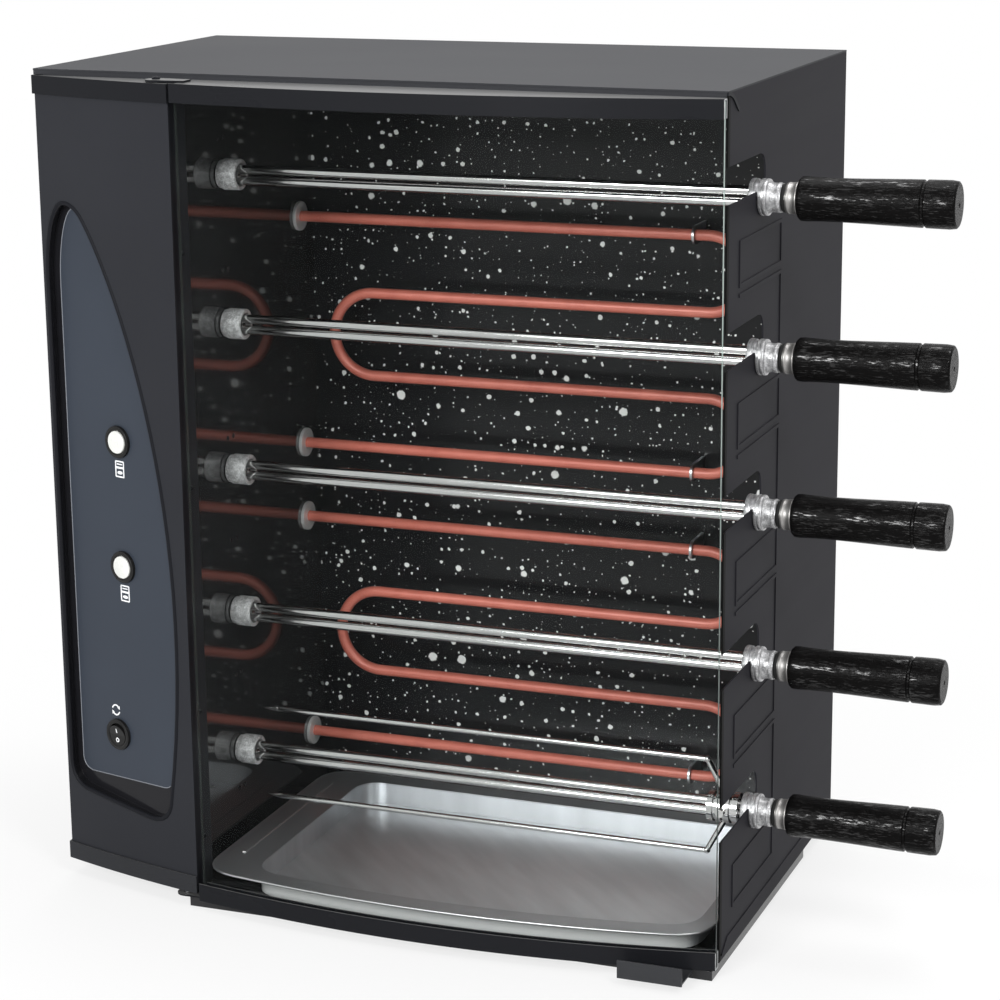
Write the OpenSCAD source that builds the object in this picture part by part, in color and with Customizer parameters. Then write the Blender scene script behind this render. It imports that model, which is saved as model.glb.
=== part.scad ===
// Electric skewer grill: a cabinet with five driven skewers, a curved glass door and a drip tray.
// Millimetres, +Z up, front towards -Y. The origin is on the floor under the middle of the cabinet.

/* [Cabinet] */
// Width of the casing, without the skewer handles
cabinet_w = 510; // [480:5:560]
// Depth of the right side, from the end of the front arc to the back
cabinet_d = 312; // [295:1:360]
// Height from the floor to the top of the roof
cabinet_h = 600; // [590:5:640]
// How far the left front corner lies behind the right one
corner_setback = 26; // [18:1:32]
// Height of the front arc over its chord
front_bulge = 35.5; // [30:0.5:42]
// Thickness of the painted steel sheet
sheet_t = 1.2; // [1:0.1:1.5]
// Width of the control column on the left
column_w = 121; // [118:1:130]
// How far the chamber's left wall steps back behind the column's side
wall_step = 8; // [6:1:10]
// Depth of the cooking chamber, from the end of the front arc to its back wall
chamber_d = 240; // [232:1:252]
// Height of the base pan that the grill stands on
pan_h = 10.5; // [9:0.5:11]
// Height of the column's floor
column_floor = 13; // [12:0.5:15]
// Height of the column's end caps
cap_h = 13; // [11:0.5:15]
// How far the caps and rails stand proud of the column
cap_proud = 1.5; // [1:0.1:2]
// How far the caps and rails lie below the roof
roof_drop = 4; // [3.5:0.5:5]
// Width of the folded flanges
flange_w = 10; // [8:0.5:12]

/* [Door] */
// Thickness of the curved glass
glass_t = 4; // [3:0.5:5]
// Play of the glass in its rails
glass_play = 0.1; // [0.1:0.05:0.3]
// Height of the two door rails
rail_h = 13; // [11:0.5:15]
// Height of the bottom rail over the floor
rail_floor = 8; // [7.5:0.5:9]
// Gap between the column and the door
door_gap = 2; // [1.5:0.1:3]
// Distance from the column's right side to the hinge pins
hinge_inset = 13; // [12:0.5:15]
// Distance of the hinge pins behind the end of the front arc
hinge_y = 5; // [4:0.5:6]
// Diameter of the hinge pins
pin_d = 5; // [4:0.5:6]
// Width of the hinge straps
strap_w = 15; // [12:0.5:16]
// Length of the hinge straps from the pin to their end on the door
strap_l = 24; // [23:0.5:42]
// Width of the finger pull
pull_w = 46; // [35:1:60]
// How far the finger pull stands in front of the rail
pull_reach = 16; // [12:1:20]
// Height of the finger pull's lip
pull_h = 13; // [9:0.5:14]
// Distance of the finger pull from the door's free end
pull_inset = 15; // [12:1:40]

/* [Control panel] */
// Left edge of the recess in the column
recess_x = 4; // [3:0.5:8]
// Bottom of the recess
recess_bottom = 61.5; // [58:0.5:80]
// Top of the recess
recess_top = 507.5; // [480:0.5:530]
// Right edge of the recess at its widest
recess_right = 110.5; // [104:0.5:111]
// Height at which the recess is widest
recess_wide_z = 200; // [180:1:220]
// Width of the dark slope left of the panel
slope_w = 8; // [6:0.5:12]
// Height of the dark scoop under the panel
scoop_h = 25; // [18:1:30]
// Depth of the recess at the panel's left edge
recess_depth = 7; // [6:0.5:9]
// Angle of the flat panel to the cabinet's front
panel_tilt = 18.4; // [18.2:0.1:18.8]
// Thickness of the recess's moulded wall
moulding_t = 1.5; // [1.2:0.1:2]
// Thickness of the panel plate
panel_t = 1; // [0.8:0.1:1.2]
// Distance of the push-buttons from the cabinet's left side
button_x = 62; // [58:1:66]
// Height of the upper push-button
upper_button_z = 340; // [320:1:360]
// Height of the lower push-button
lower_button_z = 248; // [230:1:265]
// Distance of the rocker switch from the cabinet's left side
rocker_x = 50; // [46:1:56]
// Height of the rocker switch
rocker_z = 119; // [112:1:135]
// Diameter of the switch bezels
bezel_d = 23; // [21:0.5:25]
// Diameter of the switch bodies
switch_d = 20; // [18:0.5:20.5]
// Diameter of the lenses and of the rocker
lens_d = 16.5; // [15:0.5:17]
// Travel of the push-buttons
button_travel = 2.5; // [2:0.1:3]

/* [Skewers] */
// Height of the lowest skewer
low_skewer_z = 93; // [90:1:98]
// Distance of the top skewer below the top of the roof
top_skewer_drop = 77; // [72:1:80]
// Distance of the skewers behind the end of the front arc
skewer_y = 87; // [84:0.5:92]
// Outer diameter of the drive sockets
socket_d = 22; // [20:0.5:24]
// Length of the drive sockets
socket_l = 15.5; // [14:0.5:24]
// Bore of the drive sockets
socket_bore = 16.5; // [15.5:0.1:17]
// Diameter of the spindle shafts
shaft_d = 8; // [7:0.5:9]
// Diameter of each skewer rod
rod_d = 6.5; // [5:0.1:7]
// Distance between the two rods of a skewer
rod_pitch = 7.8; // [7.3:0.1:8.5]
// Diameter of the collar's flanges
collar_d = 24; // [22:0.5:26]
// Diameter of the collar's neck in its slot
neck_d = 19.4; // [18:0.1:20]
// Length of the wooden handle
handle_l = 106; // [80:1:120]
// Diameter of the handle at its end
handle_d = 32; // [28:0.5:34]
// Diameter of the handle's waist
waist_d = 28.8; // [25:0.2:30]
// Distance of the fork's prongs from the skewer's axis
prong_r = 34; // [28:0.5:36]
// Diameter of the prongs
prong_d = 4; // [3:0.5:5]

/* [Slotted wall] */
// Height of a slot's mouth over its skewer's axis
slot_top = 29; // [24:1:32]
// Height of a slot's lower lip over its skewer's axis
slot_lip = 4.5; // [3:0.5:6]
// Height of the embossed rectangles
bead_h = 31; // [26:1:36]
// Width of the embossed beads
bead_w = 2.5; // [1.5:0.5:3]
// How far the embossed beads stand out
bead_t = 0.8; // [0.4:0.1:1]
// Distance of the beads' back line behind the end of the front arc
bead_back = 139; // [120:1:160]
// Height of the long bead along the wall's foot
foot_bead_z = 21; // [19:1:30]
// Radius of a slot's upper back corner
slot_round = 14; // [10:1:16]

/* [Heating elements] */
// Diameter of the heating tube
tube_d = 8; // [6.5:0.5:9]
// Height of the upper element's top run
element_top = 475; // [468:1:480]
// Distance between runs joined at the right
right_turn = 56; // [50:1:58]
// Distance between runs joined at the left
left_turn = 63.5; // [60:0.5:66]
// Distance from the upper element's top run to the lower element's
element_pitch = 234; // [228:1:240]
// Distance of the elements in front of the back wall
element_gap = 25; // [22:1:30]
// Distance from the elements' right turns to the side wall
element_end = 44; // [30:1:60]

/* [Drip tray] */
// Height of the tray's rim
tray_rim_z = 30; // [29:0.5:32]
// Depth of the tray's basin under the rim
tray_depth = 18; // [15:0.5:18]
// Width of the rim at the front and the back
tray_rim_w = 16; // [12:0.5:18]
// Width of the rim at the right
tray_right_rim = 12; // [9:0.5:16]
// Width of the rim at the left
tray_left_rim = 36; // [30:1:40]
// Thickness of the tray's sheet
tray_t = 1; // [0.8:0.1:1.2]
// Gap between the door's front arc and the tray's rim
tray_gap = 8.5; // [8:0.5:12]
// Distance of the tray's back edge in front of the back wall
tray_back_gap = 14; // [10:1:20]
// Radius of the tray's corners
tray_corner_r = 26; // [15:1:30]

/* [Drive] */
// Number of teeth of the socket gears
socket_teeth = 30; // [26, 30, 34]
// Number of teeth of the idler gears
idler_teeth = 24; // [20, 24, 28]
// Number of teeth of the motor pinion
pinion_teeth = 18; // [16, 18, 20]
// Width of the gears
gear_w = 8; // [6:0.5:9]
// Thickness of the gear carrier plate
carrier_t = 2; // [1.5:0.1:3]
// Distance from the chamber wall to the gear carrier
carrier_gap = 14; // [13:1:18]
// Diameter of the gear motor
motor_d = 56; // [45:1:60]
// Length of the gear motor
motor_l = 38; // [30:1:45]

/* [Hidden] */
skewer_count = 5;
running_gap = 0.05;  // radial play of a shaft in its bore
clear_gap = 0.3;  // play between pieces that move past each other
arc_fn = 360;
round_fn = 48;

// Front arc: a circle through both front corners
front_chord = sqrt(cabinet_w * cabinet_w + corner_setback * corner_setback);
front_r = (front_chord * front_chord / 4 + front_bulge * front_bulge) / (2 * front_bulge);
front_cx = cabinet_w / 2 + corner_setback / front_chord * (front_r - front_bulge);
front_cy = corner_setback / 2 + cabinet_w / front_chord * (front_r - front_bulge);
front_zone = 100;  // half depth of the zone that holds the whole front arc

top_skewer_z = cabinet_h - top_skewer_drop;
skewer_pitch = (top_skewer_z - low_skewer_z) / (skewer_count - 1);

// Door and casing levels
rail_depth = 2 * sheet_t + 2 * glass_play + glass_t;
wall_front = rail_depth + 1.4;
roof_under = cabinet_h - sheet_t;
rail_top = cabinet_h - roof_drop;
cap_top = rail_top - 0.5;
cap_floor = column_floor;
chamber_x = column_w - wall_step;
fascia_inset = cap_proud;
fascia_back = 20;  // where the column's folded side ends
side_front = roof_y(0) + 3;  // where the left side sheet begins
gland_x = 60;
gland_z = 45;
casing_inside = cabinet_w - sheet_t;
door_left = column_w + door_gap;
rail_back_left = door_left + 4;
door_right = cabinet_w - 0.5;
hinge_x = column_w - hinge_inset;
hem_h = 12;
hem_left = 8;  // clear of the column's curved front
pan_right = cabinet_w - 2.8;
foot_inset = 30;
pan_front = 0.5;
pan_front_h = rail_floor - 1;

// Flat panel and finger pull
panel_x = recess_x + slope_w;
panel_y = front_y(panel_x, fascia_inset) + recess_depth;
rocker_axis = 1.5;  // depth of the rocker's pins behind the panel's face
rocker_tilt = 7;
switch_depth = 20;
fin_tip_h = 56;  // height of the rounded tip of the recess and the panel
pull_x = door_right - pull_inset - pull_w;
pull_front = front_y(pull_x) - pull_reach;

// Skewer stations along X
wall_outside = cabinet_w;
wall_inside = wall_outside - sheet_t;
neck_left = wall_inside - 0.5;
neck_right = wall_outside + 0.5;
collar_left = neck_left - 4.3;
fork_right = collar_left - 3;
fork_left = fork_right - 22;
ferrule_left = neck_right + 17.5;
grip_pin_l = 0.6 * handle_l;  // the steel pin inside the handle
lug_w = rod_d - 1.5;
lug_h = rod_pitch + 4;
handle_left = ferrule_left + 8;
socket_left = chamber_x + 0.5;
socket_mouth = socket_left + socket_l;
carrier_right = chamber_x - sheet_t - carrier_gap;
carrier_left = carrier_right - carrier_t;
gear_right = carrier_left - 4;
gear_left = gear_right - gear_w;
gear_module = skewer_pitch / (socket_teeth + idler_teeth);
motor_y = skewer_y + gear_module * (socket_teeth + pinion_teeth) / 2;
motor_z = skewer_z(3);
motor_right = gear_left - 6;
ear_z = motor_d / 2 + 5;
low_tab = skewer_z(skewer_count) - 30;
high_tab = skewer_z(1) + 30;
pocket_r = neck_d / 2 + clear_gap;
bead_front = wall_front + 28;
bead_drop = pocket_r + 11.5;  // from a skewer's axis down to the rectangle under its slot

// Elements and tray
element_y = chamber_d - element_gap;
element_left = chamber_x + 28 + left_turn / 2;
element_right = casing_inside - element_end - right_turn / 2;
terminal_left = chamber_x - sheet_t - 22;
terminal_heights = [for (top = [element_top, element_top - element_pitch], k = [0, 1])
    top - k * (2 * right_turn + left_turn)];
tray_left = column_w + 1.5;
tray_right = casing_inside - 8;
tray_back = chamber_d - tray_back_gap;
tray_floor = tray_rim_z - tray_depth;

function skewer_z(i) = top_skewer_z - (i - 1) * skewer_pitch;
function idler_z(i) = skewer_z(i) - skewer_pitch / 2;
function front_y(x, inset = 0) = front_cy - sqrt(pow(front_r - inset, 2) - pow(x - front_cx, 2));
// Front edge of the roof, a straight line just behind the door
function roof_y(x) = corner_setback + 1 + (wall_front - corner_setback - 1) * x / cabinet_w;

// Front face of the roof's folded hem
function hem_y(x) = roof_y(x) + clear_gap;

// Places a piece that is drawn from the cabinet's left side, the arc's end and the floor
module cabinet_frame() translate([-cabinet_w / 2, -cabinet_d / 2, 0]) children();

module block(x0, x1, y0, y1, z0, z1) translate([x0, y0, z0]) cube([x1 - x0, y1 - y0, z1 - z0]);

// A plate with the given plan, from height z0 to z1
module plate(points, z0, z1) translate([0, 0, z0]) linear_extrude(z1 - z0) polygon(points);

// A solid with the given front outline in X and Z, from y0 to y1
module front_prism(points, y0, y1)
    translate([0, y1, 0]) rotate([90, 0, 0]) linear_extrude(y1 - y0) polygon(points);

// A disc or bar along X
module bar_x(d, x0, x1, y, z, fn = round_fn)
    translate([x0, y, z]) rotate([0, 90, 0]) cylinder(d = d, h = x1 - x0, $fn = fn);

// Everything behind the front arc, which may be inset
module behind_front(inset, z0, z1)
    translate([front_cx, front_cy, z0]) cylinder(r = front_r - inset, h = z1 - z0, $fn = arc_fn);

// A curved strip along the front arc
module arc_band(inset, t, x0, x1, z0, z1)
    intersection() {
        difference() {
            behind_front(inset, z0, z1);
            behind_front(inset + t, z0 - 1, z1 + 1);
        }
        block(x0, x1, -front_zone, front_zone, z0, z1);
    }

// A flat plate between the front arc and the roof's front edge
module crescent(x0, x1, gap, z0, z1)
    intersection() {
        behind_front(0, z0, z1);
        plate([[x0, -front_zone], [x1, -front_zone], [x1, roof_y(x1) - gap], [x0, roof_y(x0) - gap]],
              z0, z1);
    }

// ---- Casing ----

// Top sheet with a hem folded down at the front, shallower over the column's curved corner
module roof_cover() color([0.30, 0.31, 0.33]) cabinet_frame() {
    plate([[0, roof_y(0)], [cabinet_w, roof_y(cabinet_w)], [cabinet_w, cabinet_d], [0, cabinet_d]],
          roof_under, cabinet_h);
    plate([[hem_left, hem_y(hem_left)], [wall_inside, hem_y(wall_inside)],
           [wall_inside, hem_y(wall_inside) + sheet_t], [hem_left, hem_y(hem_left) + sheet_t]],
          roof_under - hem_h, roof_under + 0.1);
    plate([[0, hem_y(0) + 0.1], [hem_left + 1, hem_y(hem_left) + 0.1],
           [hem_left + 1, hem_y(hem_left) + sheet_t - 0.1], [0, hem_y(0) + sheet_t - 0.1]],
          cap_top + clear_gap, roof_under + 0.2);
}

module left_side_panel() color([0.17, 0.18, 0.19]) cabinet_frame()
    block(0, sheet_t, side_front, cabinet_d - sheet_t, column_floor + sheet_t, roof_under);

module back_cover() color([0.2, 0.2, 0.21]) cabinet_frame()
    difference() {
        union() {
            block(0, cabinet_w, cabinet_d - sheet_t, cabinet_d, column_floor, roof_under);
            block(chamber_x, casing_inside, chamber_d + sheet_t, cabinet_d, column_floor,
                  column_floor + sheet_t);
        }
        for (column = [0:3], row = [0:5])
            translate([cabinet_w * (0.16 + 0.2 * column), cabinet_d - 3, cabinet_h * 0.62 + 24 * row])
                cube([cabinet_w * 0.1, 6, 4]);
        translate([gland_x, cabinet_d - 5, gland_z]) rotate([-90, 0, 0])
            cylinder(d = 16, h = 10, $fn = round_fn);
    }

// One slot: a mouth open to the front and a round pocket for the collar's neck
module slot_outline() {
    rear = skewer_y + pocket_r;
    front = wall_front - 1;
    polygon(concat(
        [[front, slot_lip], [front, slot_top]],
        corner([rear - slot_round, slot_top], [rear, slot_top], [rear, slot_top - slot_round]),
        [[rear, 0], [skewer_y - pocket_r, 0], [skewer_y - pocket_r, slot_lip]]));
    translate([skewer_y, 0]) circle(r = pocket_r, $fn = round_fn);
}

// An embossed bead on the wall's outer face, with the given outline in Y and Z
module bead(points) translate([wall_outside - 0.1, 0, 0]) rotate([90, 0, 90])
    linear_extrude(bead_t + 0.1) polygon(points);

module bead_frame(y0, y1, z0, z1)
    difference() {
        bead([[y0, z0], [y1, z0], [y1, z1], [y0, z1]]);
        block(wall_outside - 1, wall_outside + bead_t + 1, y0 + bead_w, y1 - bead_w,
              z0 + bead_w, z1 - bead_w);
    }

// A bead behind a slot, with an arm to the front over the slot
module bead_bracket(y0, y1, z0, z1)
    bead([[y1 - bead_w, z0], [y1, z0], [y1, z1], [y0, z1], [y0, z1 - bead_w],
          [y1 - bead_w, z1 - bead_w]]);

module slotted_side_wall() color([0.25, 0.25, 0.28]) cabinet_frame() {
    difference() {
        union() {
            block(wall_inside, wall_outside, wall_front, cabinet_d - sheet_t, pan_h, roof_under);
            block(wall_inside - flange_w, wall_outside, wall_front + 8, chamber_d - 1, pan_h,
                  pan_h + sheet_t);
            block(wall_inside - flange_w, wall_outside, cabinet_d - 2 * sheet_t,
                  cabinet_d - sheet_t, column_floor + sheet_t, roof_under);
        }
        for (i = [1:skewer_count])
            translate([wall_outside - 5, 0, skewer_z(i)]) rotate([90, 0, 90]) linear_extrude(10)
                slot_outline();
    }
    for (i = [1:skewer_count])
        bead_frame(bead_front, bead_back, skewer_z(i) - bead_drop - bead_h, skewer_z(i) - bead_drop);
    for (i = [2:skewer_count])
        bead_bracket(bead_front, bead_back, skewer_z(i) - bead_drop - 1, skewer_z(i) + slot_top + 22);
    bead([[wall_front + 3, pan_h + 4], [wall_front + 5.5, pan_h + 4],
          [wall_front + 18.5, foot_bead_z], [chamber_d + 2, foot_bead_z],
          [chamber_d + 2, foot_bead_z + bead_w], [wall_front + 17, foot_bead_z + bead_w]]);
}

// Plans of the pan behind its step and of the low strip before it
function pan_step(x) = roof_y(x) + 6;
function pan_plan(inset) = let (x0 = chamber_x - sheet_t + inset, x1 = pan_right - inset)
    [[x0, pan_step(x0) + inset], [x1, pan_step(x1) + inset], [x1, chamber_d + sheet_t - inset],
     [x0, chamber_d + sheet_t - inset]];
function pan_strip(inset, lap) = let (x0 = chamber_x - sheet_t + inset, x1 = pan_right - inset)
    [[x0, pan_front + inset], [x1, pan_front + inset], [x1, pan_step(x1) + lap],
     [x0, pan_step(x0) + lap]];

// The pan's front strip is low, so that the door's bottom rail swings over it
module base_pan() color([0.11, 0.11, 0.12]) cabinet_frame()
    difference() {
        union() {
            plate(pan_plan(0), 0, pan_h);
            plate(pan_strip(0, 1), 0, pan_front_h);
        }
        plate(pan_plan(sheet_t), sheet_t, pan_h - sheet_t);
        plate(pan_strip(sheet_t, 2 * sheet_t), sheet_t, pan_front_h - sheet_t);
        block(chamber_x + flange_w, pan_right - flange_w, pan_step(chamber_x) + 2 * sheet_t,
              chamber_d - flange_w, sheet_t, pan_h + 1);
    }

// ---- Chamber ----

module chamber_left_wall() color([0.07, 0.07, 0.08]) cabinet_frame()
    difference() {
        block(chamber_x - sheet_t, chamber_x, fascia_back, chamber_d + sheet_t, pan_h, roof_under);
        block(chamber_x - 5, chamber_x + 5, 0, roof_y(chamber_x) + sheet_t + 1,
              roof_under - hem_h - clear_gap, cabinet_h);
        for (i = [1:skewer_count])
            bar_x(shaft_d + 6, chamber_x - 5, chamber_x + 5, skewer_y, skewer_z(i));
        for (z = terminal_heights)
            bar_x(tube_d + 2 * running_gap, chamber_x - 5, chamber_x + 5, element_y, z);
    }

module chamber_back_wall() color([0.09, 0.09, 0.1]) cabinet_frame()
    block(chamber_x, casing_inside, chamber_d, chamber_d + sheet_t, pan_h, roof_under);

// ---- Control column ----

module column_fascia() color([0.19, 0.20, 0.21]) cabinet_frame()
    difference() {
        union() {
            arc_band(fascia_inset, sheet_t, 0, column_w, cap_floor + sheet_t, cap_top - sheet_t);
            block(column_w - sheet_t, column_w, front_y(column_w, fascia_inset + 0.6), fascia_back,
                  cap_floor + sheet_t, cap_top - sheet_t);
            block(chamber_x - sheet_t, column_w, fascia_back - sheet_t, fascia_back,
                  cap_floor + sheet_t, cap_top - sheet_t);
            block(0, sheet_t, front_y(0, fascia_inset + 0.6), side_front,
                  cap_floor + sheet_t, cap_top - sheet_t);
        }
        front_prism(recess_outline(0), -front_zone, front_zone);
    }

// A cap's folded band around the front, with a short return on the left side
module cap_band(z0, z1) {
    arc_band(0, sheet_t, -cap_proud, column_w, z0, z1);
    block(-cap_proud, sheet_t - cap_proud, front_y(-cap_proud) + 0.3, roof_y(0) + 12, z0, z1);
}

module pin_boss(z0, z1) translate([hinge_x, hinge_y, z0])
    cylinder(d = pin_d + 5, h = z1 - z0, $fn = round_fn);

module pin_hole(gap) translate([hinge_x, hinge_y, -1])
    cylinder(d = pin_d + 2 * gap, h = cabinet_h + 2, $fn = round_fn);

module column_top_cap() color([0.21, 0.22, 0.23]) cabinet_frame()
    difference() {
        union() {
            cap_band(cap_top - cap_h, cap_top);
            crescent(-cap_proud, column_w, 0.5, cap_top - sheet_t, cap_top);
            pin_boss(cap_top - cap_h, cap_top);
        }
        pin_hole(0.01);
    }

module column_bottom_cap() color([0.21, 0.22, 0.23]) cabinet_frame()
    difference() {
        union() {
            cap_band(cap_floor, cap_floor + cap_h);
            intersection() {
                behind_front(0, cap_floor, cap_floor + sheet_t);
                union() {
                    block(-cap_proud, column_w, -front_zone, fascia_back - sheet_t - 0.5,
                          cap_floor, cap_floor + sheet_t);
                    block(0, chamber_x - sheet_t, 0, cabinet_d - sheet_t, cap_floor, cap_floor + sheet_t);
                }
            }
            pin_boss(cap_floor, cap_floor + cap_h);
        }
        pin_hole(0.01);
    }

// Rounded corner between two points
function corner(a, c, b, n = 6) =
    [for (k = [0:n]) let (t = k / n) (1 - t) * (1 - t) * a + 2 * t * (1 - t) * c + t * t * b];

// Fin-shaped outline: straight left edge, round tip, bowed right edge and a slanted foot
function fin_outline(left, right, foot_left, foot_right, tip, r) = let (
    root_x = left + 0.25 * (right - left),
    tip_x = left + 0.17 * (right - left),
    wide = recess_wide_z,
    shoulder = tip - fin_tip_h,
    bow_z = tip - 8,
    edge_x = function (z) root_x + (right - root_x) * pow(1 - pow((z - wide) / (tip - wide), 2), 0.8))
    concat(
        corner([edge_x(foot_right + r), foot_right + r], [edge_x(foot_right + r) - 1, foot_right],
               [edge_x(foot_right + r) - r, foot_right + (foot_left - foot_right) * 0.12]),
        corner([left + r, foot_left], [left + 1, foot_left + 1], [left, foot_left + r]),
        [for (k = [0:10]) let (a = 9 * k)
            [left + (tip_x - left) * (1 - cos(a)), shoulder + (tip - shoulder) * sin(a)]],
        corner([tip_x + 1, tip], [tip_x + 9, tip], [edge_x(bow_z), bow_z]),
        [for (k = [1:24]) let (z = bow_z - (bow_z - foot_right - r) * pow(k / 25, 1.4))
            [edge_x(z), z]]);

function recess_outline(gap) = fin_outline(recess_x + gap, recess_right - gap, recess_bottom + 9.5 + gap,
                                           recess_bottom + gap, recess_top - gap, 20 - gap);

function panel_face(x) = panel_y - (x - panel_x) * tan(panel_tilt);

// Everything between two faces parallel to the panel
module panel_slab(front, back) {
    x0 = -front_zone;
    x1 = column_w + front_zone;
    plate([[x0, panel_face(x0) + front], [x1, panel_face(x1) + front],
           [x1, panel_face(x1) + back], [x0, panel_face(x0) + back]], 0, cabinet_h);
}

// Places a switch on the panel's face, pointing out along +Z
module on_panel(x, z) translate([x, panel_face(x), z]) rotate([0, 0, -panel_tilt]) rotate([90, 0, 0])
    children();

module switch_holes(d) {
    for (z = [upper_button_z, lower_button_z])
        on_panel(button_x, z) translate([0, 0, -10]) cylinder(d = d, h = 20, $fn = round_fn);
    on_panel(rocker_x, rocker_z) translate([0, 0, -10]) cylinder(d = d, h = 20, $fn = round_fn);
}

module control_recess() color([0.05, 0.05, 0.06]) cabinet_frame()
    difference() {
        intersection() {
            front_prism(recess_outline(0), -front_zone, front_zone);
            behind_front(fascia_inset, 0, cabinet_h);
            panel_slab(-front_zone, panel_t + moulding_t);
        }
        intersection() {
            front_prism(recess_outline(moulding_t), -front_zone, front_zone);
            panel_slab(-front_zone, panel_t);
        }
        switch_holes(switch_d + 0.4);
    }

module control_panel() color([0.27, 0.30, 0.34]) cabinet_frame()
    difference() {
        intersection() {
            front_prism(fin_outline(panel_x, recess_right - moulding_t - 0.3,
                                    recess_bottom + scoop_h - 2, recess_bottom + scoop_h + 1.5,
                                    recess_top - 4, 9), -front_zone, front_zone);
            front_prism(recess_outline(moulding_t + 0.2), -front_zone, front_zone);
            panel_slab(0, panel_t);
        }
        switch_holes(switch_d + 0.4);
    }

// A switch body with its bezel, drawn on the panel's face
module switch_body() difference() {
    union() {
        cylinder(d = bezel_d, h = 2.2, $fn = round_fn);
        translate([0, 0, -switch_depth]) cylinder(d = switch_d, h = switch_depth + 0.1, $fn = round_fn);
    }
    translate([0, 0, -0.6 * switch_depth])
        cylinder(d = lens_d + 2 * clear_gap, h = switch_depth, $fn = round_fn);
}

module rocker_pins(d, l) translate([-l / 2, 0, -rocker_axis]) rotate([0, 90, 0])
    cylinder(d = d, h = l, $fn = 24);

module switch_housings() color([0.04, 0.04, 0.04]) cabinet_frame() {
    for (z = [upper_button_z, lower_button_z]) on_panel(button_x, z) switch_body();
    on_panel(rocker_x, rocker_z) difference() {
        switch_body();
        rocker_pins(2 + 2 * running_gap, switch_d - 0.6);
    }
}

module push_button() {
    translate([0, 0, -7]) cylinder(d = lens_d, h = 9, $fn = round_fn);
    translate([0, 0, 2]) cylinder(d1 = lens_d, d2 = lens_d - 3, h = 0.8, $fn = round_fn);
}

module upper_button() color([0.85, 0.86, 0.84]) cabinet_frame()
    on_panel(button_x, upper_button_z) push_button();

module lower_button() color([0.85, 0.86, 0.84]) cabinet_frame()
    on_panel(button_x, lower_button_z) push_button();

// The rocker: a short drum with two faces that slope to the middle, and its two pins. Its lower
// half is pressed in.
module rocker() color([0.06, 0.06, 0.06]) cabinet_frame() on_panel(rocker_x, rocker_z) {
    r = lens_d / 2;
    translate([0, 0, -rocker_axis]) rotate([rocker_tilt, 0, 0]) translate([0, 0, rocker_axis])
        intersection() {
            translate([0, 0, -5]) cylinder(d = lens_d - 0.8, h = 12, $fn = round_fn);
            translate([r, 0, 0]) rotate([0, -90, 0]) linear_extrude(lens_d)
                polygon([[-3.5, -r], [3.2, -r], [2.2, 0], [3.2, r], [-3.5, r]]);
        }
    rocker_pins(2, switch_d - 1);
}

// ---- Door ----

module door_pin_strap(z0, z1)
    difference() {
        union() {
            translate([hinge_x, hinge_y, z0]) cylinder(d = strap_w, h = z1 - z0, $fn = round_fn);
            plate([[hinge_x, hinge_y - strap_w / 2], [hinge_x + strap_l, hinge_y - strap_w / 2 + 1],
                   [hinge_x + strap_l, hinge_y + strap_w / 2 - 3], [hinge_x, hinge_y + strap_w / 2]],
                  z0, z1);
        }
        pin_hole(running_gap);
    }

module door_top_rail() color([0.22, 0.23, 0.25]) cabinet_frame() {
    arc_band(0, sheet_t, door_left, door_right, rail_top - rail_h, rail_top);
    arc_band(rail_depth - sheet_t, sheet_t, rail_back_left, door_right, rail_top - rail_h, rail_top);
    crescent(rail_back_left, door_right, 1, rail_top - sheet_t, rail_top);
    door_pin_strap(rail_top, rail_top + 1.5);
}

module door_bottom_rail() color([0.24, 0.25, 0.27]) cabinet_frame() {
    arc_band(0, sheet_t, door_left, door_right, rail_floor, rail_floor + rail_h);
    arc_band(rail_depth - sheet_t, sheet_t, rail_back_left, door_right, rail_floor, rail_floor + rail_h);
    crescent(rail_back_left, door_right, 1, rail_floor, rail_floor + sheet_t);
    door_pin_strap(rail_floor, rail_floor + sheet_t);
}

module door_glass() color([0.6, 0.68, 0.66, 0.3]) cabinet_frame()
    arc_band(sheet_t + glass_play, glass_t, rail_back_left - 1, door_right, rail_floor + sheet_t,
             rail_top - sheet_t);

module door_pull() color([0.27, 0.28, 0.30]) cabinet_frame() {
    block(pull_x, pull_x + pull_w, pull_front, front_y(pull_x) + 10, rail_floor - 1.5, rail_floor);
    block(pull_x, pull_x + pull_w, pull_front, pull_front + 1.5, rail_floor - 2.5,
          rail_floor - 2.5 + pull_h);
}

// Hinge pins: each has a flat head on its cap and a rounded end past its strap
module hinge_pins() color([0.6, 0.6, 0.62]) cabinet_frame() {
    translate([hinge_x, hinge_y, 0]) {
        translate([0, 0, cap_top - cap_h - 1.5]) cylinder(d = pin_d + 4, h = 1.5, $fn = round_fn);
        translate([0, 0, cap_top - cap_h - 0.1]) cylinder(d = pin_d, h = cap_h + 2.3, $fn = round_fn);
        translate([0, 0, rail_floor - 0.6])
            cylinder(d = pin_d, h = cap_floor + cap_h - rail_floor + 0.7, $fn = round_fn);
        translate([0, 0, cap_floor + cap_h]) cylinder(d = pin_d + 4, h = 1.5, $fn = round_fn);
    }
}

// ---- Drip tray ----

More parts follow.
